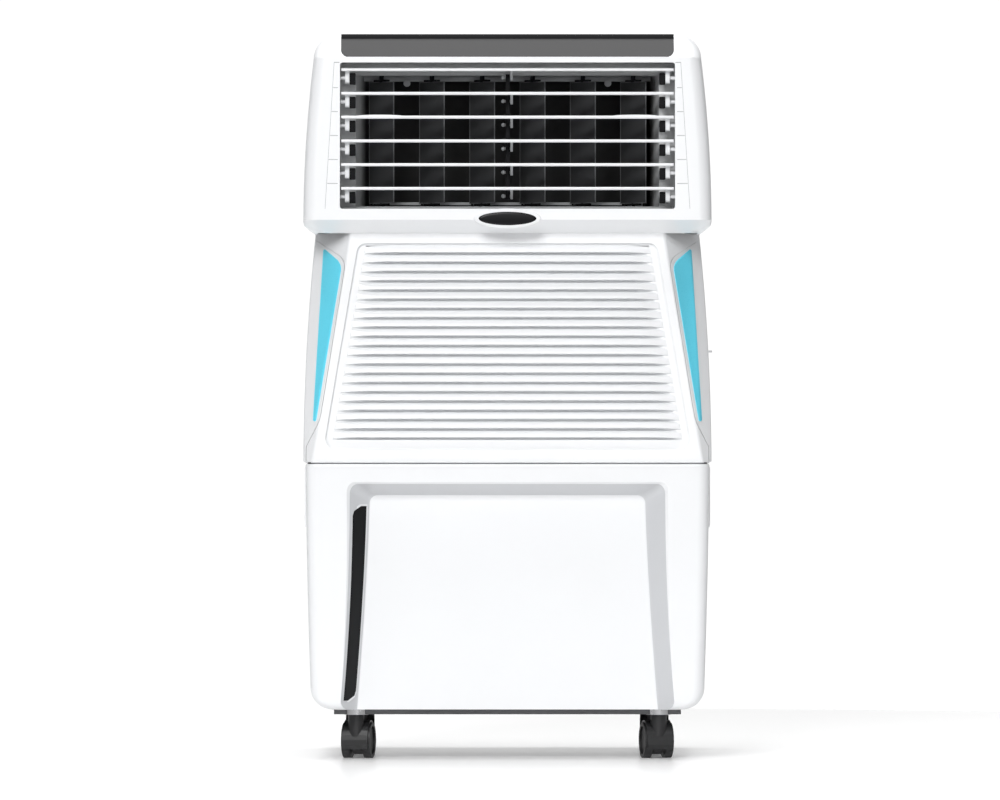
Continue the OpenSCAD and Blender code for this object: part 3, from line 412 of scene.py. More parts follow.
def mid_t(z):
    """Share of the middle shell's height, 0 at its foot and 1 under the head."""
    return (z - MID_Z) / (HEAD_Z - MID_Z)


def mid_front(z):
    """Y of the leaning front face."""
    return MID_FRONT_LOW + (MID_FRONT_TOP - MID_FRONT_LOW) * mid_t(z)


def panel_edge(z):
    """Half width of the front face, up to the corner chamfer."""
    return PANEL_EDGE_LOW + (PANEL_EDGE_TOP - PANEL_EDGE_LOW) * mid_t(z)


def chamfer_y(x, z):
    """Y of the corner chamfer's surface at a place seen from the front."""
    return mid_front(z) + (abs(x) - panel_edge(z)) * CHAMFER_RUN[1] / CHAMFER_RUN[0]


def mid_ring(z, inset=0.0, front_inset=None):
    """Outline of the middle shell at height z. The front may have an inset of its own."""
    deep = inset if front_inset is None else front_inset
    half = swell(SHELL_HALF, MID_HALF_TOP, 3.3, mid_t(z)) - inset
    flat = panel_edge(z) - inset * 0.6
    front = mid_front(z) + deep
    corner_y = front + (half - flat) * CHAMFER_RUN[1] / CHAMFER_RUN[0]
    back, back_r = BACK_Y - inset, BACK_R - inset
    shape = [(-flat, front, 5), (flat, front, 5), (half, corner_y, 9), (half, back, back_r),
             (-half, back, back_r), (-half, corner_y, 9)]
    return [(x, y, z) for x, y in filleted(shape, 7)]


HEAD_CHIN = 14.5
CONTROL_DROP = 27
HEAD_FRONT_LOW = FRONT_Y + 3
HEAD_FRONT_TOP = HEAD_FRONT_LOW + 13
HEAD_HALF_TOP = SHELL_HALF - 11.5
CROWN_R = 28
BROW_RISE = 21                    # height of the slope that the control strip lies on
BROW_RUN = 16
BROW_R = 6
CHIN_RISE = 8                     # height over which the underside of the head widens


def head_front(z):
    """Y of the head's front: undercut chin, tall face, sloping brow and a rounded top edge."""
    chin, brow = HEAD_Z + HEAD_CHIN, TOP_Z - CONTROL_DROP
    if z < chin:
        return MID_FRONT_TOP + (HEAD_FRONT_LOW - MID_FRONT_TOP) * (z - HEAD_Z) / HEAD_CHIN
    if z <= brow:
        return HEAD_FRONT_LOW + (HEAD_FRONT_TOP - HEAD_FRONT_LOW) * (z - chin) / (brow - chin)
    over = z - brow
    if over <= BROW_RISE:
        return HEAD_FRONT_TOP + BROW_RUN * over / BROW_RISE
    lift = min(1.0, (over - BROW_RISE) / BROW_R)
    return HEAD_FRONT_TOP + BROW_RUN + 2 * BROW_R * (1 - math.sqrt(max(0.0, 1 - lift ** 2)))


def head_half(z):
    """Half width of the head: widening underside, lip, swelling side and rounded crown."""
    lip = HEAD_Z + 12
    if z < HEAD_Z + CHIN_RISE:
        return MID_HALF_TOP + (SHELL_HALF - 1 - MID_HALF_TOP) * (z - HEAD_Z) / CHIN_RISE
    if z < lip:
        return SHELL_HALF - (lip - z) / 4
    t = (z - lip) / (TOP_Z - CROWN_R - lip)
    if t <= 1:
        return swell(SHELL_HALF, HEAD_HALF_TOP, 2.7, t)
    rise = min(CROWN_R, z - (TOP_Z - CROWN_R))
    return HEAD_HALF_TOP - CROWN_R + math.sqrt(CROWN_R ** 2 - rise ** 2)


def head_back(z):
    """Y of the head's back, rounded at the crown."""
    rise = max(0.0, min(CROWN_R, z - (TOP_Z - CROWN_R)))
    return BACK_Y - CROWN_R + math.sqrt(CROWN_R ** 2 - rise ** 2)


def head_ring(z, inset=0.0):
    """Outline of the head at height z, moved in by the inset."""
    half, front, back = head_half(z) - inset, head_front(z) + inset, head_back(z) - inset
    shape = [(-half, front, 15), (half, front, 15), (half, back, 20), (-half, back, 20)]
    return [(x, y, z) for x, y in filleted(shape, 8)]


# ---- tank ----

RECESS_TOP = MID_Z - 22.4
RECESS_FLOOR_TOP = MID_Z - 33.6
RECESS_BACK = TANK_FRONT + 26
RECESS_MOUTH = TANK_FRONT + TANK_DRAFT
RECESS_R = 11                     # rounding of the recess's upper corners


def recess_outer(z):
    """Half width of the recess at its mouth."""
    return SHELL_HALF - 50.6 + 10.6 * max(0.0, (RECESS_TOP - z) / 253) ** 2.3


def recess_inner(z):
    """Half width of the recess at its floor."""
    return SHELL_HALF - 73.6 + 14.2 * max(0.0, (RECESS_FLOOR_TOP - z) / 242) ** 1.4


def recess_rim(level):
    """Outline of the recess: level 0 is its mouth and 1 its floor."""
    top = RECESS_TOP + (RECESS_FLOOR_TOP - RECESS_TOP) * level
    side = []
    for z in spread(TANK_Z - 20, top - RECESS_R, 14):
        outer, inner = recess_outer(z), recess_inner(z)
        side.append((outer + (inner - outer) * level, z))
    width = side[-1][0]
    across, rise = 9.0, RECESS_R if level < 1 else RECESS_R - 2
    for k in range(1, 7):
        turn = math.radians(15 * k)
        side.append((width - across + across * math.cos(turn), top - RECESS_R + rise * math.sin(turn)))
    return mirrored(side)


def recess_cutter():
    """Solid of the recess: slanted walls that go on past its mouth, and a rounded edge at its floor."""
    mouth, floor = recess_rim(0), recess_rim(1)
    depth = RECESS_BACK - RECESS_MOUTH
    slope = [((a[0] - b[0]) / depth, (a[1] - b[1]) / depth) for a, b in zip(mouth, floor)]
    steepness = 22 / 24           # how much of the slope from rim to rim the walls take
    rings = []
    for y in (TANK_FRONT - 20, RECESS_MOUTH, RECESS_BACK - 2.5):
        step = (RECESS_BACK - y) * steepness
        rings.append([(f[0] + lean[0] * step, y, f[1] + lean[1] * step) for f, lean in zip(floor, slope)])
    for y, inward, down in ((RECESS_BACK - 0.6, 1.2, 0.8), (RECESS_BACK, 3.2, 2.4)):
        rings.append([(x - math.copysign(inward, x), y, z - (down if z > TANK_Z else 0)) for x, z in floor])
    return loft("recess_cutter", rings)


def recess_wall(z, share, side=-1, lift=0.0):
    """Point on the slanted wall: share 0 is its outer edge and 1 its inner edge, lifted off the wall."""
    outer, inner = recess_outer(z), recess_inner(z)
    depth = RECESS_BACK - RECESS_MOUTH
    x, y = outer + (inner - outer) * share, RECESS_MOUTH + depth * share
    across = Vector((inner - outer, depth)).normalized()
    return (side * (x - across.y * lift), y + across.x * lift, z)


def grip_cutter(name, side, grow):
    """Box for a grip pocket in one side of the tank, larger on every inner side by grow."""
    x0, x1 = sorted((side * (TANK_HALF_TOP - 20 - grow), side * (TANK_HALF_TOP + 10)))
    return block(name, x0, x1, HANDLE_LOW.y + 8 - grow, HANDLE_HIGH.y - 8 + grow, HANDLE_LOW.z - 24 - grow,
                 HANDLE_HIGH.z - 16 + grow)


def build_tank():
    levels = [TANK_Z + TANK_FOOT_R * (1 - math.cos(math.radians(a))) for a in range(0, 91, 9)]
    levels += spread(TANK_Z + TANK_FOOT_R + 6, MID_Z - 4, 10)
    rings = [tank_ring(z) for z in levels]
    rings += [tank_ring(MID_Z - drop, inset) for drop, inset in ((2.6, 0), (1.2, 0.7), (0.8, 2.8), (0, 2.8))]
    tank = loft("tank_shell", rings)
    hollow = [tank_ring(TANK_Z + 5, 5)] + [tank_ring(z, WALL) for z in spread(TANK_Z + 20, MID_Z - 8, 6)]
    hollow += [tank_ring(MID_Z - 6, 9), tank_ring(MID_Z + 2, 9)]
    cavity = loft("cavity", hollow)
    keep_out = recess_cutter()
    for vert in keep_out.data.vertices:
        vert.co.y += WALL * MM
    grips = [grip_cutter("grip", side, 0) for side in (-1, 1)]
    grip_walls = [grip_cutter("grip_wall", side, WALL) for side in (-1, 1)]
    combine(cavity, [keep_out] + grip_walls)
    combine(tank, [cavity, recess_cutter()] + grips)
    for node, radius in (("float_valve", 10.7), ("drain_plug", 12.3)):
        low, high = box(node)
        combine(tank, [disc("hole", (low.x + high.x) / 2, BACK_Y - 20, (low.z + high.z) / 2, radius, 40)])
    dress(tank, WHITE, replaces=["water_tank"])
    # painted shade: the recess's slanted walls get the pale grey in place of the shade that falls in the
    # recess
    tank.data.materials.append(RECESS_PAINTED_SHADE)
    for face in tank.data.polygons:
        centre = face.center / MM
        walled = RECESS_MOUTH + 0.5 < centre.y < RECESS_BACK - 0.3 and face.normal.y > -0.96
        if walled and abs(centre.x) < recess_outer(centre.z) + 1 and TANK_Z + 2 < centre.z < RECESS_TOP + 1:
            face.material_index = 1
    soften(tank, 1.6)


WINDOW_HIGH = MID_Z - 48.5
WINDOW_LOW = TANK_Z + 10.4


def window_strip(name, grow, lift, thick):
    """Long plate on the slanted left wall, with its outer top and inner bottom corners rounded."""
    front, back = [], []
    rows, corner, pull = 40, 12 + grow, 0.42
    for z in spread(WINDOW_LOW - grow, WINDOW_HIGH + grow, rows):
        first, last = 0.2 - grow * 0.03, 0.88 + grow * 0.03
        top_gap, low_gap = (WINDOW_HIGH + grow) - z, z - (WINDOW_LOW - grow)
        if top_gap < corner:
            first += (1 - math.sqrt(1 - (1 - top_gap / corner) ** 2)) * pull
        if low_gap < corner:
            last -= (1 - math.sqrt(1 - (1 - low_gap / corner) ** 2)) * pull
        shares = spread(first, last, 6)
        front.append([recess_wall(z, share, -1, lift) for share in shares])
        back.append([recess_wall(z, share, -1, lift - thick) for share in shares])
    return slab(name, front, back)


def build_window():
    rim = window_strip("window_rim", 2.0, 0.7, 2.0)
    soften(rim, 0.4, 2)
    dress(rim, WHITE)
    pane = window_strip("window_pane", 0, 1.1, 2.4)
    soften(pane, 0.3, 2)
    dress(pane, GLOSS_BLACK, replaces=["level_window"])


def build_handles():
    """Hooked lips that the fingers go behind, one on each side of the tank."""
    top, low = HANDLE_HIGH.z, HANDLE_LOW.z
    for side, name in ((-1, "grip_left"), (1, "grip_right")):
        outer, inner = HANDLE_HIGH.x, TANK_HALF_TOP - 0.5
        profile = [(inner, top), (outer - 1.6, top - 0.5), (outer, top - 3), (outer, low + 3),
                   (outer - 0.8, low), (outer - 3.1, low), (outer - 3.3, top - 14), (inner, top - 14)]
        lip = prism_y(name, [(side * x, z) for x, z in profile], HANDLE_LOW.y, HANDLE_HIGH.y)
        dress(soften(lip, 0.9, 3, 25), WHITE, replaces=["side_handles"])


# ---- middle shell, front panel and inserts ----

# right half of the line between the front panel and the body: x, z and corner radius
SEAM = [(SHELL_HALF + 8, HEAD_Z + 4, 0), (SHELL_HALF + 8, HEAD_Z - 2, 0), (SHELL_HALF - 12, HEAD_Z - 6.5, 20),
        (SHELL_HALF - 47.9, HEAD_Z - 30, 16), (SHELL_HALF - 19.0, MID_Z + 48, 60),
        (SHELL_HALF - 3.3, MID_Z + 18.5, 8), (SHELL_HALF - 3.3, MID_Z - 4, 0)]


def seam_prism(name, gap):
    """Everything inside the seam line, moved out by the gap."""
    outline = mirrored([(x + gap, z) for x, z in filleted(SEAM, 8)])
    return prism_y(name, outline, FRONT_Y - 30, FRONT_Y + 115)


def mid_shell(name):
    """Whole middle shell with a step at its foot, hollow and open at both ends."""
    levels = [(MID_Z, 2.8), (MID_Z + 0.8, 2.8), (MID_Z + 1.2, 0.7), (MID_Z + 2.6, 0)]
    levels += [(z, 0) for z in spread(MID_Z + 8, HEAD_Z, 14)]
    shell = loft(name, [mid_ring(z, inset) for z, inset in levels])
    hollow = loft("hollow", [mid_ring(z, WALL + 1, 9) for z in spread(MID_Z - 1, HEAD_Z + 1, 6)])
    return combine(shell, [hollow])


RIB_COUNT = 21
RIB_PITCH = 10.43
RIB_FIRST = HEAD_Z - 24.4 + RIB_PITCH
FIELD_TOP = HEAD_Z - 10.8
FIELD_LOW = MID_Z + 14.8
FIELD_DEPTH = 4.0
RIB_POCKET = 8.3                  # depth of the panel's pocket that the rib sheet lies in
RIB_FADE = 30.0                   # length over which a rib runs out at each end
RIB_RUNOUT = 3.95                 # depth of the rib sheet where the ribs have run out
RIB_SHEET_T = 0.8
SEAM_GAP = 0.22


def field_edge(z):
    """Half width of the recessed rib field's mouth."""
    return SHELL_HALF - 61.4 + 39 * (FIELD_TOP - z) / (FIELD_TOP - FIELD_LOW)


def build_front_panel():
    panel = combine(mid_shell("front_panel_skin"), [seam_prism("seam", -SEAM_GAP)], "INTERSECT")
    wide, narrow = field_edge(FIELD_LOW), field_edge(FIELD_TOP)
    outline = filleted([(-wide, FIELD_LOW, 13), (wide, FIELD_LOW, 13), (narrow, FIELD_TOP, 11),
                        (-narrow, FIELD_TOP, 11)], 8)
    rings = []
    for depth, inward in ((-12, 0), (2.4, 0.3), (FIELD_DEPTH - 0.7, 1.2), (FIELD_DEPTH, 2.8)):
        ring = []
        for x, z in outline:
            inner_x = x - inward * (1 if x > 0 else -1)
            inner_z = z - inward * (0.8 if z > (FIELD_TOP + FIELD_LOW) / 2 else -0.8)
            ring.append((inner_x, mid_front(inner_z) + depth, inner_z))
        rings.append(ring)
    deep_half = [(field_edge(z) - 9.6, z) for z in (RIB_FIRST - RIB_PITCH * RIB_COUNT, RIB_FIRST)]
    pocket = loft("pocket", [[(x, mid_front(z) + depth, z) for x, z in mirrored(deep_half)]
                             for depth in (-12, RIB_POCKET)])
    combine(panel, [loft("field", rings), pocket])
    soften(panel, 0.7, 2)
    dress(panel, WHITE, replaces=["front_panel"])
    build_ribs()


def build_ribs():
    """The rib field: each rib leans out toward its lower lip and runs out into the floor at both ends."""
    # share of the pitch below the rib's upper edge, and depth behind the panel's face
    profile = [(0.0, 7.4), (0.05, 3.9), (0.1, 2.9), (0.2, 1.9), (0.33, 1.0), (0.48, 0.4), (0.6, 0.1),
               (0.68, 0.12), (0.715, 0.5), (0.73, 1.6), (0.735, 7.4)]
    stations = [0, 0.8, 2, 4, 7, 11, 16, 22, RIB_FADE]
    rows = [(RIB_FIRST - RIB_PITCH * (k + share), depth)
            for k in range(RIB_COUNT) for share, depth in profile]
    rows = [(RIB_FIRST, profile[1][1])] + rows[1:] + [(RIB_FIRST - RIB_PITCH * RIB_COUNT, profile[0][1])]
    front, back = [], []
    for z, depth in rows:
        half = field_edge(z) - 8.6
        xs = [-half + s for s in stations] + spread(-half + RIB_FADE, half - RIB_FADE, 8)[1:-1]
        xs += [half - s for s in reversed(stations)]
        row = []
        for x in xs:
            near = max(0.0, min(1.0, (half - abs(x)) / RIB_FADE))
            strength = math.sin(near * math.pi / 2) ** 0.8 if near > 0 else 0.0
            place = z - 1.6 * (1 - strength)
            row.append((x, mid_front(place) + RIB_RUNOUT - (RIB_RUNOUT - depth) * strength, place))
        front.append(row)
        back.append([(x, y + RIB_SHEET_T, z) for x, y, z in row])
    sheet = slab("front_ribs", front, back)
    for face in sheet.data.polygons:
        face.use_smooth = True
    sheet.data.set_sharp_from_angle(angle=math.radians(80))
    dress(sheet, WHITE, replaces=["front_panel"])


PAD_HALF = GRILLE_HIGH.x - 15
PAD_LOW = GRILLE_LOW.z + 8
PAD_TOP = TOP_Z - 35


def build_mid_shell():
    shell = mid_shell("body_skin")
    gland_low, gland_high = box("cord_gland")
    gland_x, gland_z = (gland_low.x + gland_high.x) / 2, (gland_low.z + gland_high.z) / 2
    combine(shell, [seam_prism("seam", SEAM_GAP),
                    block("pad_hole", -PAD_HALF, PAD_HALF, BACK_Y - 30, BACK_Y + 20, PAD_LOW, HEAD_Z + 5),
                    block("flap_hole", SHELL_HALF - 20, SHELL_HALF + 20, FLAP_LOW.y + 4, FLAP_HIGH.y - 4,
                          FLAP_LOW.z - 1.6, FLAP_HIGH.z + 1.4),
                    disc("gland_hole", gland_x, BACK_Y - 20, gland_z, 6.7, 40)])
    soften(shell, 0.9)
    dress(shell, WHITE, replaces=["body_shell"])


def build_pad_collar():
    """Tunnel around the wet pad and the flat plate in the head's back."""
    deep, inside = box("honeycomb_pad")[0].y - 3, PAD_HALF - 1.5
    collar = block("pad_collar", -PAD_HALF - 4, PAD_HALF + 4, deep, BACK_Y - 1, PAD_LOW - 4, PAD_TOP + 4)
    combine(collar, [block("inside", -inside, inside, deep - 5, BACK_Y + 5, PAD_LOW + 1.5, PAD_TOP)])
    plate_half = GRILLE_HIGH.x + 5
    plate = block("plate", -plate_half, plate_half, BACK_Y - 3, BACK_Y, HEAD_Z, TOP_Z - 29)
    combine(plate, [block("inside", -PAD_HALF, PAD_HALF, BACK_Y - 9, BACK_Y + 5, HEAD_Z - 5, PAD_TOP + 1)])
    frame_piece = joined("pad_collar_frame", [collar, plate])
    soften(frame_piece, 0.6, 2)
    dress(frame_piece, WHITE, replaces=["pad_frame"])


def build_seal():
    """Dark seal in the joint between the tank and the body."""
    outer = loft("body_seal", [tank_ring(MID_Z - 0.7, 2.3), tank_ring(MID_Z + 0.7, 2.3)])
    combine(outer, [loft("inside", [tank_ring(MID_Z - 3, 8), tank_ring(MID_Z + 3, 8)])])
    shade(outer)
    dress(outer, BLACK)


def build_duct_ledges():
    """Ledges and screw bosses inside the outlet, above and below the vanes."""
    low_half, high_half = OUTLET_HALF - 35, OUTLET_HALF - 14
    y0, y1 = FRONT_Y + 102, FRONT_Y + 106
    parts = [block("ledge", 2 - OUTLET_HALF, OUTLET_HALF - 2, FRONT_Y + 47, FRONT_Y + 54, OUTLET_LOW + 0.4,
                   OUTLET_LOW + 3.6),
             block("ledge", -low_half, low_half, y0, y1, OUTLET_LOW + 2.2, OUTLET_LOW + 9.4),
             block("ledge", -high_half, high_half, y0, y1, OUTLET_HIGH - 18.4, OUTLET_HIGH - 13.2)]
    parts += [disc("boss", side * 114, FRONT_Y + 98, OUTLET_HIGH - 20.5, 4.0, 5, "y", 24) for side in (-1, 1)]
    ledges = soften(joined("duct_ledges", parts), 0.5, 2)
    dress(ledges, EDGE_LIGHT)


def build_inserts():
    """Coloured plates that lie on the corner chamfers."""
    corners = [(SHELL_HALF - 22.2, HEAD_Z - 16.2, 1.4), (SHELL_HALF - 43.6, HEAD_Z - 34.5, 15),
               (SHELL_HALF - 14.6, MID_Z + 47, 2.0), (SHELL_HALF - 11.2, MID_Z + 47, 1.6)]
    outline = filleted(corners, 8)
    across = Vector((CHAMFER_RUN[0], CHAMFER_RUN[1], 0))
    up = Vector((PANEL_EDGE_TOP - PANEL_EDGE_LOW, MID_FRONT_TOP - MID_FRONT_LOW, HEAD_Z - MID_Z))
    out = across.cross(up).normalized()
    centre = sum((Vector(p) for p in outline), Vector((0, 0))) / len(outline)
    for side, name in ((-1, "insert_left"), (1, "insert_right")):
        rings = []
        for lift, shrink in ((-2.0, 0), (0.25, 0), (0.6, 0.35)):
            ring = []
            for x, z in outline:
                toward = (centre - Vector((x, z))).normalized() * shrink
                px, pz = x + toward.x, z + toward.y
                p = Vector((px, chamfer_y(px, pz), pz)) + out * lift
                ring.append((side * p.x, p.y, p.z))
            rings.append(ring)
        piece = loft(name, rings)
        shade(piece, 50)
        dress(piece, AQUA, replaces=["accent_inserts"])


# ---- head ----

OUTLET_HALF = 188.5
OUTLET_LOW = HEAD_Z + 27
OUTLET_HIGH = OUTLET_LOW + 165
SEAM_Y = BEZEL_HIGH.y
STRIP_BACK = SEAM_Y - 10


def head_levels():
    """Heights of the head's rings, closer together at the chin and the crown."""
    levels = [HEAD_Z, HEAD_Z + 4, HEAD_Z + 8, HEAD_Z + 10, HEAD_Z + 12, HEAD_Z + HEAD_CHIN]
    levels += spread(HEAD_Z + HEAD_CHIN + 4, TOP_Z - CROWN_R, 12) + [TOP_Z - CONTROL_DROP]
    levels += [TOP_Z - CROWN_R + CROWN_R * math.sin(math.radians(a)) for a in range(9, 90, 9)]
    levels += [TOP_Z - BROW_R, TOP_Z]
    return sorted(set(levels))


def head_shell(name):
    """Whole head, hollow and open below."""
    shell = loft(name, [head_ring(z) for z in head_levels()])
    inside = [head_ring(z, WALL) for z in head_levels() if z < TOP_Z - 12]
    inside = [[(x, y, HEAD_Z - 1) for x, y, z in inside[0]]] + inside
    return combine(shell, [loft("inside", inside)])


def domed_oval(name, levels, steps=48):
    """Oval solid at the badge's place, through levels given as Y, half width and half height."""
    z = (BADGE_LOW.z + BADGE_HIGH.z) / 2
    turns = [2 * math.pi * i / steps for i in range(steps)]
    return loft(name, [[(w * math.cos(a), y, z + h * math.sin(a)) for a in turns] for y, w, h in levels])


def build_head():
    bezel = head_shell("bezel_skin")
    cover = twin(bezel, "top_cover_skin")
    opening = filleted([(-OUTLET_HALF, OUTLET_LOW, 3), (OUTLET_HALF, OUTLET_LOW, 3),
                        (OUTLET_HALF, OUTLET_HIGH, 3), (-OUTLET_HALF, OUTLET_HIGH, 3)], 4)
    low, high = HEAD_Z - 50, TOP_Z + 50
    seat_half = STRIP_HIGH.x - 0.6
    combine(bezel, [prism_y("opening", opening, FRONT_Y - 20, FRONT_Y + 60),
                    block("rear", -BEYOND, BEYOND, SEAM_Y, BACK_Y + 50, low, high),
                    block("strip_seat", -seat_half, seat_half, FRONT_Y - 20, STRIP_BACK - 0.4,
                          TOP_Z - CONTROL_DROP + 10, TOP_Z + 20)])
    soften(bezel, 1.3)
    dress(bezel, WHITE, replaces=["head_bezel"])
    plate_half = GRILLE_HIGH.x + 6
    combine(cover, [block("front", -BEYOND, BEYOND, FRONT_Y - 50, SEAM_Y + 0.7, low, high),
                    block("back_hole", -plate_half, plate_half, BACK_Y - 10, BACK_Y + 20, HEAD_Z - 5,
                          TOP_Z - 28.6)])
    soften(cover, 0.9)
    dress(cover, WHITE, replaces=["top_cover"])


def build_badge():
    """Bare oval plate on a raised boss."""
    half = (BADGE_HIGH.x - BADGE_LOW.x) / 2
    boss = domed_oval("badge_boss", [(FRONT_Y + 14, half + 5.4, 11.4), (FRONT_Y + 2.2, half + 5.4, 11.4),
                                     (FRONT_Y + 1.1, half + 4.6, 10.6), (FRONT_Y + 0.9, half + 2, 8.6)])
    combine(boss, [block("above", -60, 60, FRONT_Y + 4, FRONT_Y + 20, HEAD_Z + 27, HEAD_Z + 60)])
    shade(boss, 40)
    dress(boss, WHITE)
    badge = domed_oval("badge_face", [(FRONT_Y + 2, half, 7.6), (FRONT_Y + 0.9, half, 7.6),
                                      (FRONT_Y + 0.3, half - 0.8, 6.9), (FRONT_Y + 0.05, half - 4, 4.5)])
    shade(badge, 60)
    dress(badge, GLOSS_BLACK, replaces=["badge_plate"])


def build_trim():
    """Fine inlaid lines beside the outlet: a slanted line with short ticks on each side."""
    near, far, tick_first, tick_pitch = OUTLET_HALF + 6.6, OUTLET_HALF + 16.6, 28.5, 27
    for side, name in ((-1, "trim_left"), (1, "trim_right")):
        # both ends of each line in X and Z, and its width
        lines = [(near, OUTLET_HIGH, far, OUTLET_LOW, 0.5),
                 (OUTLET_HALF + 0.6, OUTLET_HIGH, near, OUTLET_HIGH, 1.0)]
        for k in range(5):
            z = OUTLET_HIGH - tick_first - tick_pitch * k
            x = near + (far - near) * (OUTLET_HIGH - z) / (OUTLET_HIGH - OUTLET_LOW)
            lines.append((OUTLET_HALF + 2.4, z, x - 0.6, z, 0.8))
        strips = []
        for x0, z0, x1, z1, width in lines:
            start, end = Vector((x0, z0)), Vector((x1, z1))
            across = (end - start).normalized().orthogonal() * width / 2
            corners = [start + across, end + across, end - across, start - across]
            strips.append(loft("strip", [[(side * c.x, head_front(c.y) + sink, c.y) for c in corners]
                                         for sink in (-0.03, 1.0)]))
        dress(joined(name, strips), TRIM_GREY)


def build_strip():
    """Dark control strip that follows the head's brow and runs back over its top."""
    half, corner, thick = STRIP_HIGH.x, 8.0, 2.2
    lowest, bend = TOP_Z - CONTROL_DROP + 0.4, TOP_Z - BROW_R
    levels = spread(lowest, lowest + corner, 8) + spread(lowest + 10, bend, 5)
    levels += [bend + rise for rise in (1.5, 3, 4.4, 5.4, BROW_R)]
    path = [(head_front(z), z) for z in levels]
    top_y = path[-1][0]
    path += [(top_y + (STRIP_BACK - top_y) * share, TOP_Z) for share in (0.15, 0.4, 0.7, 1.0)]
    front, back = [], []
    for index, (y, z) in enumerate(path):
        rise = z - lowest
        inset = corner - math.sqrt(corner ** 2 - (corner - rise) ** 2) if rise < corner else 0
        here, ahead = Vector(path[max(0, index - 1)]), Vector(path[min(len(path) - 1, index + 1)])
        along = (ahead - here).normalized()
        out = Vector((-along.y, along.x))
        lift = 0.35 if z < TOP_Z - 0.6 else 0.0
        right = [half * 0.6, half * 0.97, half - inset]
        xs = [-x for x in reversed(right)] + [0] + right
        front.append([(x, y + out.x * lift, z + out.y * lift) for x in xs])
        back.append([(x, y + out.x * (lift - thick), z + out.y * (lift - thick)) for x in xs])
    strip = slab("control_strip", front, back)
    round_edges(strip, 0.5, 2, 40)
    shade(strip, 40)
    dress(strip, CHARCOAL, replaces=["control_fascia"])
    strip.data.materials.append(DARK_MATTE)
    for face in strip.data.polygons:
        if face.center.z / MM > TOP_Z - 5.4:
            face.material_index = 1


# ---- louvres ----

JOINTS = {joint["name"]: joint for joint in frame["joints"]}
LOUVRE_DROP = 9.0
LOUVRE_HALF_T = 1.75
LOUVRE_HALF = OUTLET_HALF - 1.3
LOUVRE_CHORD = 28.0
LINK_BACK = 12.0
HANDLE_LOUVRE = 3                 # the blade with the finger lips


def across_x(name, pivot, outline, x0, x1):
    """Outline in Y and Z around a pivot, pushed from x0 to x1, whichever is the lower."""
    return loft(name, [[(x, pivot.y + y, pivot.z + z) for y, z in outline] for x in sorted((x0, x1))])


def build_blade(name, pivot):
    """Slat with a round nose, thin at the back, with a notch for the link bar."""
    front, back = -LOUVRE_CHORD / 2, LOUVRE_CHORD / 2
    nose = [(front + LOUVRE_HALF_T - LOUVRE_HALF_T * math.sin(a), LOUVRE_DROP + LOUVRE_HALF_T * math.cos(a))
            for a in (math.radians(d) for d in range(0, 181, 20))]
    section = nose + [(back - 0.5, LOUVRE_DROP - 1.0), (back, LOUVRE_DROP), (back - 0.5, LOUVRE_DROP + 1.3)]
    ends = [(-LOUVRE_HALF, 0.97), (-LOUVRE_HALF + 0.6, 1), (LOUVRE_HALF - 0.6, 1), (LOUVRE_HALF, 0.97)]
    blade = loft(name, [[(x, pivot.y + y * size, pivot.z + LOUVRE_DROP + (z - LOUVRE_DROP) * size)
                         for y, z in section] for x, size in ends])
    notch = block("notch", -5, 3.1, pivot.y + 1.5, pivot.y + back + 2, pivot.z, pivot.z + 20)
    return combine(blade, [notch])


def build_louvre(number):
    """One blade with its lugs and pins, its bearings, and the hook that the link bar hangs on."""
    pivot = Vector(JOINTS[f"louvre_turn_{number}"]["pos_m"]) / MM
    body = f"louvre_blade_{number}"
    parts, dark = [build_blade(f"louvre_{number}_blade", pivot)], []
    root = LOUVRE_DROP - 1
    lug = filleted([(-6, root, 0), (6, root, 0), (5, -6.5, 3), (-5, -6.5, 3)], 5)
    for side in (-1, 1):
        parts.append(across_x("lug", pivot, lug, side * (LOUVRE_HALF - 9.2), side * (LOUVRE_HALF - 4.2)))
        x0, x1 = sorted((side * (LOUVRE_HALF - 4.4), side * (OUTLET_HALF + 2)))
        parts.append(disc("pin", x0, pivot.y, pivot.z, 2.2, x1 - x0, "x", 24))
        x0, x1 = sorted((side * (LOUVRE_HALF - 16.0), side * (LOUVRE_HALF - 9.3)))
        dark.append(block("bearing", x0, x1, pivot.y - 5.5, pivot.y + 5.5, pivot.z - 7.5, pivot.z + 5.5))
    if number == HANDLE_LOUVRE:
        parts += [finger_lip(pivot, side) for side in (-1, 1)]
    piece = soften(joined(f"louvre_{number}_white", parts), 0.35, 2, 40)
    dress(piece, WHITE, body, [f"louvre_{number}"])
    blocks = soften(joined(f"louvre_{number}_bearings", dark), 0.8, 2)
    dress(blocks, DARK_MATTE, body)
    back = LOUVRE_CHORD / 2
    hook_shape = filleted([(-2, root, 0), (back - 1, root, 0), (back, 2, 2), (LINK_BACK + 3, -2.6, 2.4),
                           (LINK_BACK - 3, -2.6, 2.4), (4, 4, 4)], 4)
    link_y, link_z = pivot.y + LINK_BACK, pivot.z + 1
    hook = [across_x("hook", pivot, hook_shape, 3.2, 6.2),
            disc("stud", -4.4, link_y, link_z, 1.5, 7.8, "x", 20), ball(-4.8, link_y, link_z, 2.3)]
    dress(soften(joined(f"louvre_{number}_hook", hook), 0.3, 2), LIGHT_GREY, body)


def ball(x, y, z, radius, steps=16):
    """Small round knob."""
    mesh = bmesh.new()
    bmesh.ops.create_uvsphere(mesh, u_segments=steps, v_segments=steps // 2, radius=radius * MM)
    bmesh.ops.translate(mesh, verts=mesh.verts, vec=Vector((x, y, z)) * MM)
    data = bpy.data.meshes.new("ball")
    mesh.to_mesh(data)
    mesh.free()
    obj = bpy.data.objects.new("ball", data)
    bpy.context.scene.collection.objects.link(obj)
    return obj


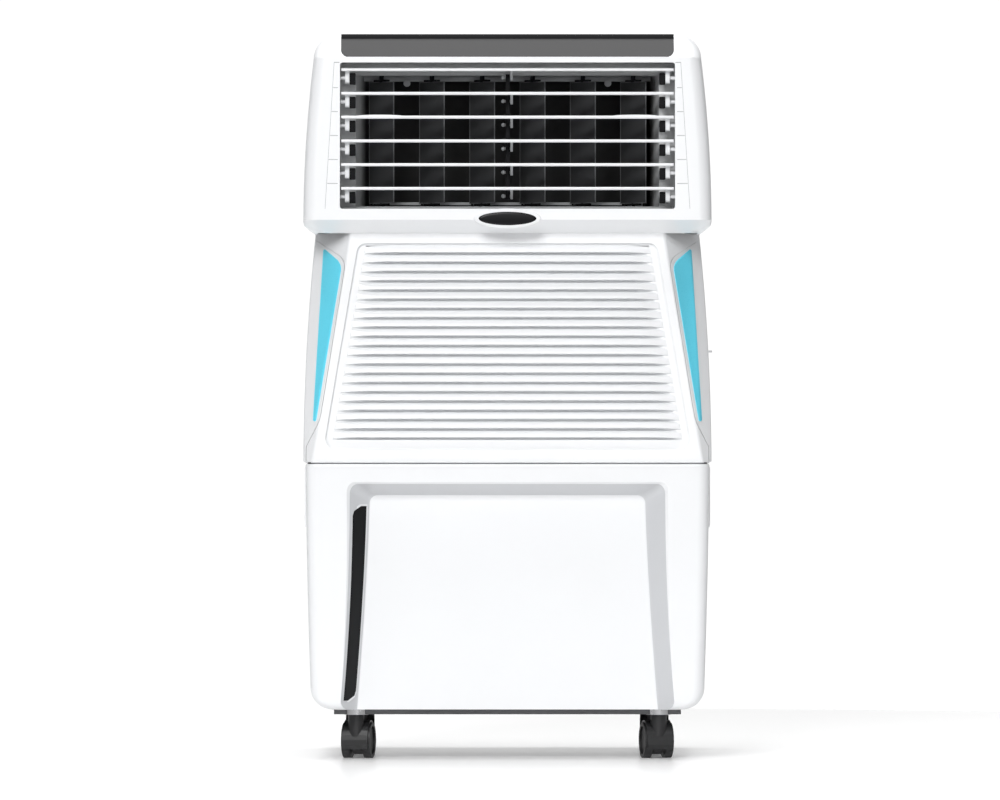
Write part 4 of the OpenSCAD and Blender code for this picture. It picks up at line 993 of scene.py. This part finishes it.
def finger_lip(pivot, side):
    """Low raised lip on the blade's front edge, drawn out at both ends."""
    rings = []
    base = pivot.z + LOUVRE_DROP + LOUVRE_HALF_T - 0.6
    crest = base + 0.6
    y = pivot.y - LOUVRE_CHORD / 2 + 1.4
    for t in spread(0, 1, 12):
        x = side * (LOUVRE_HALF * 0.63 + LOUVRE_HALF * 0.28 * t)
        height = 1.3 * max(0, math.sin(math.pi * t)) ** 0.5
        rings.append([(x, y, base), (x, y + 9, base), (x, y + 8, crest + height * 0.8),
                      (x, y + 3, crest + height), (x, y + 0.4, crest - 0.1 + height * 0.7)])
    return loft("lip", rings)


# ---- vanes ----


VANE_REST = 40                    # degrees that a resting vane is turned from straight ahead
VANE_CHORD = 44


def build_vane(number):
    """One upright leaf with its pale edges, its feet and pins."""
    body = f"vane_leaf_{number}"
    centre = Vector(JOINTS[f"vane_turn_{number}"]["pos_m"]) / MM
    rest, half = math.radians(VANE_REST), VANE_CHORD / 2
    bottom, top = OUTLET_LOW + 8, OUTLET_HIGH - 20
    forward = Vector((math.sin(rest), -math.cos(rest), 0))
    side = Vector((math.cos(rest), math.sin(rest), 0))

    def at(along, across, z):
        """Point along the leaf toward its front edge, and across it."""
        p = centre + forward * along + side * across
        return (p.x, p.y, z)

    def bar(a0, a1, thick, z0, z1):
        """Flat bar along the leaf, that thick on both sides of its middle."""
        corners = [(a0, -thick), (a1, -thick), (a1, thick), (a0, thick)]
        return loft("bar", [[at(p, q, z) for p, q in corners] for z in (z0, z1)])
    section = [(half, 0), (half - 2, 0.9), (0, 1.3), (-half + 2, 0.9), (-half, 0), (-half + 2, -0.9),
               (0, -1.3), (half - 2, -0.9)]
    leaf = loft(f"vane_{number}_leaf", [[at(a, b, z) for a, b in section] for z in (bottom, top)])
    dress(soften(leaf, 0.3, 2), VANE, body, [f"vane_{number}"])
    edges = [bar(half - 0.7, half + 0.1, 0.6, bottom, top), bar(-half - 0.1, -half + 0.7, 0.6, bottom, top),
             bar(-half, half, 1.2, bottom - 0.4, bottom + 0.5), bar(-half, half, 1.2, top - 0.5, top + 0.4)]
    dress(soften(joined(f"vane_{number}_edges", edges), 0.25, 2), EDGE_GREY, body)
    low_pin = disc("pin", centre.x, centre.y, bottom - 6.5, 1.8, 6.5, "z", 20)
    high_pin = disc("pin", centre.x, centre.y, top, 2.6, 7.5, "z", 20)
    crank = at(-18, 0, 0)
    feet = [bar(-11, 11, 3.0, bottom - 2.6, bottom - 0.4), bar(-11, 11, 3.0, top + 0.4, top + 2.6),
            low_pin, high_pin, disc("crank", crank[0], crank[1], bottom - 5, 1.2, 5, "z", 16)]
    dress(soften(joined(f"vane_{number}_pins", feet), 0.3, 2), DARK_MATTE, body)


# ---- rear: pad, filter, grille ----


def build_pad():
    """Fluted cellulose sheets, each a zigzag wave, standing side by side."""
    low, high = box("honeycomb_pad")
    pitch, waves = 7.0, int((high.z - low.z) / 14)
    verts, faces = [], []
    count = int((high.x - low.x - 2) / pitch)
    for k in range(count):
        x = low.x + 4 + pitch * k
        lean = 1 if k % 2 else -1
        first = len(verts)
        steps = waves * 2
        for i in range(steps + 1):
            z = low.z + 1 + (high.z - low.z - 2) * i / steps
            swing = 2.8 * (1 if i % 2 else -1) * lean
            for y in (low.y + 1, high.y - 1):
                verts.append((x + swing - 0.35, y, z))
                verts.append((x + swing + 0.35, y, z))
        for i in range(steps):
            a = first + 4 * i
            b = a + 4
            faces += [(a, a + 2, b + 2, b), (a + 1, b + 1, b + 3, a + 3), (a + 2, a + 3, b + 3, b + 2),
                      (a, b, b + 1, a + 1)]
        end = first + 4 * steps
        faces += [(first, first + 1, first + 3, first + 2), (end, end + 2, end + 3, end + 1)]
    pad = raw_object("wet_pad_sheets", verts, faces)
    dress(pad, PAD, replaces=["honeycomb_pad"])


def build_filter():
    """Net of crossed threads in the filter's frame."""
    keep("filter_screen", NET, 0.4)
    low, high = box("filter_screen")
    pitch, half_t, middle = 5.0, 0.3, (low.y + high.y) / 2
    verts, faces = [], []

    def thread(x0, x1, z0, z1):
        n = len(verts)
        verts.extend([(x, y, z) for y in (middle - half_t, middle + half_t)
                      for x, z in ((x0, z0), (x1, z0), (x1, z1), (x0, z1))])
        faces.extend([(n, n + 1, n + 2, n + 3), (n + 7, n + 6, n + 5, n + 4)])
        faces.extend([(n + i, n + 4 + i, n + 4 + (i + 1) % 4, n + (i + 1) % 4) for i in range(4)])
    x = low.x + 8
    while x < high.x - 7:
        thread(x - half_t, x + half_t, low.z + 6, high.z - 6)
        x += pitch
    z = low.z + 8
    while z < high.z - 7:
        thread(low.x + 6, high.x - 6, z - half_t, z + half_t)
        z += pitch
    net = raw_object("filter_net", verts, faces)
    dress(net, NET, "rear_cover")


# ---- CAD nodes that are shown, stage and camera ----


def keep_cad_nodes():
    hoods, wheels = ([f"castor_{part}_{i}" for i in range(1, 5)] for part in ("hood", "wheels"))
    finishes = [
        (["base_plate"], BASE, 1.2), (["castor_sockets"], STEEL, 0.5), (hoods, BLACK, 0.5),
        (wheels, TYRE, 0.8),
        (["pump_deck", "water_distributor", "blower_volute", "inlet_ring", "fill_chute"], NATURAL, 0.0),
        # the air plenum gets the duct plastic with painted shade, darker the deeper inside
        (["air_plenum"], painted_shade_duct(), 0.0), (["louvre_link", "vane_link"], DARK_MATTE, 0.3),
        (["rear_grille", "fill_flap"], WHITE, 0.5), (["pump_body"], ENAMEL, 0.8),
        (["pump_impeller"], BLACK, 0.0), (["delivery_hose"], HOSE, 0.0), (["blower_wheel"], VANE, 0.0),
        (["motor_shaft", "motor_bracket", "swing_motor", "housing_screws"], STEEL, 0.2),
        (["fan_motor"], ENAMEL, 0.6), (["run_capacitor"], IVORY, 0.8), (["control_board"], BOARD, 0.2),
        (["float_valve"], BRASS, 0.4), (["float_arm"], FLOAT, 0.3),
        (["drain_plug", "cord_gland"], BLACK, 0.5),
    ]
    for names, mat, edge in finishes:
        for name in names:
            keep(name, mat, edge)


def build_stage():
    """Round pale floor, a studio that is bright behind the object only, and three soft lights."""
    radius, steps = 1500, 120
    turns = [2 * math.pi * k / steps for k in range(steps)]
    rim = [(radius * math.cos(a), radius * math.sin(a), 0) for a in turns]
    floor = raw_object("floor", rim, [list(range(steps))])
    mat = material("pale_floor", (0.93, 0.93, 0.93), 0.3, grain=40, grain_height=0.0, drift=0.004, shine=1.0)
    glow = mat.node_tree.nodes["Principled BSDF"].inputs
    glow["Emission Color"].default_value = (1, 1, 1, 1)
    glow["Emission Strength"].default_value = 0.1
    floor.data.materials.append(mat)
    world = bpy.data.worlds.new("studio")
    bpy.context.scene.world = world
    world.use_nodes = True
    nodes, links = world.node_tree.nodes, world.node_tree.links
    place = nodes.new("ShaderNodeTexCoord")
    split = nodes.new("ShaderNodeSeparateXYZ")
    ramp = nodes.new("ShaderNodeMapRange")
    ramp.inputs["From Min"].default_value = 0.8
    ramp.inputs["From Max"].default_value = 0.92
    ramp.inputs["To Min"].default_value = 0.16
    ramp.inputs["To Max"].default_value = 1.05
    links.new(place.outputs["Generated"], split.inputs["Vector"])
    links.new(split.outputs["Y"], ramp.inputs["Value"])
    links.new(ramp.outputs["Result"], nodes["Background"].inputs["Color"])
    lights = [("key", (-1100, -4700, 3100), 1600, 190), ("fill", (900, -5200, 1300), 1600, 18),
              ("top", (0, 300, 4200), 3000, 135)]
    for name, spot, size, power in lights:
        data = bpy.data.lights.new(name, "AREA")
        data.size = size * MM
        data.energy = power
        lamp = bpy.data.objects.new(name, data)
        lamp.location = Vector(spot) * MM
        aim = Vector((0, 0, 400)) * MM - lamp.location
        lamp.rotation_euler = aim.to_track_quat("-Z", "Y").to_euler()
        bpy.context.scene.collection.objects.link(lamp)


def build_camera():
    """Long lens straight in front, a little above half height, that sees 1.125 m across at the front face."""
    data = bpy.data.cameras.new("camera")
    camera = bpy.data.objects.new("camera", data)
    distance, seen_width = 10000.0, 1125.0
    data.sensor_width = 36
    data.lens = data.sensor_width * distance / seen_width
    data.clip_end = 100
    camera.location = Vector((-8.4, FRONT_Y - distance + 10, 405)) * MM
    camera.rotation_euler = (math.radians(90), 0, 0)
    bpy.context.scene.collection.objects.link(camera)
    bpy.context.scene.camera = camera


keep_cad_nodes()
build_tank()
build_window()
build_handles()
build_front_panel()
build_mid_shell()
build_pad_collar()
build_seal()
build_duct_ledges()
build_inserts()
build_head()
build_badge()
build_trim()
build_strip()
for number in range(1, 7):
    build_louvre(number)
    build_vane(number)
build_pad()
build_filter()
build_stage()
build_camera()
bpy.context.scene.view_settings.view_transform = "Standard"
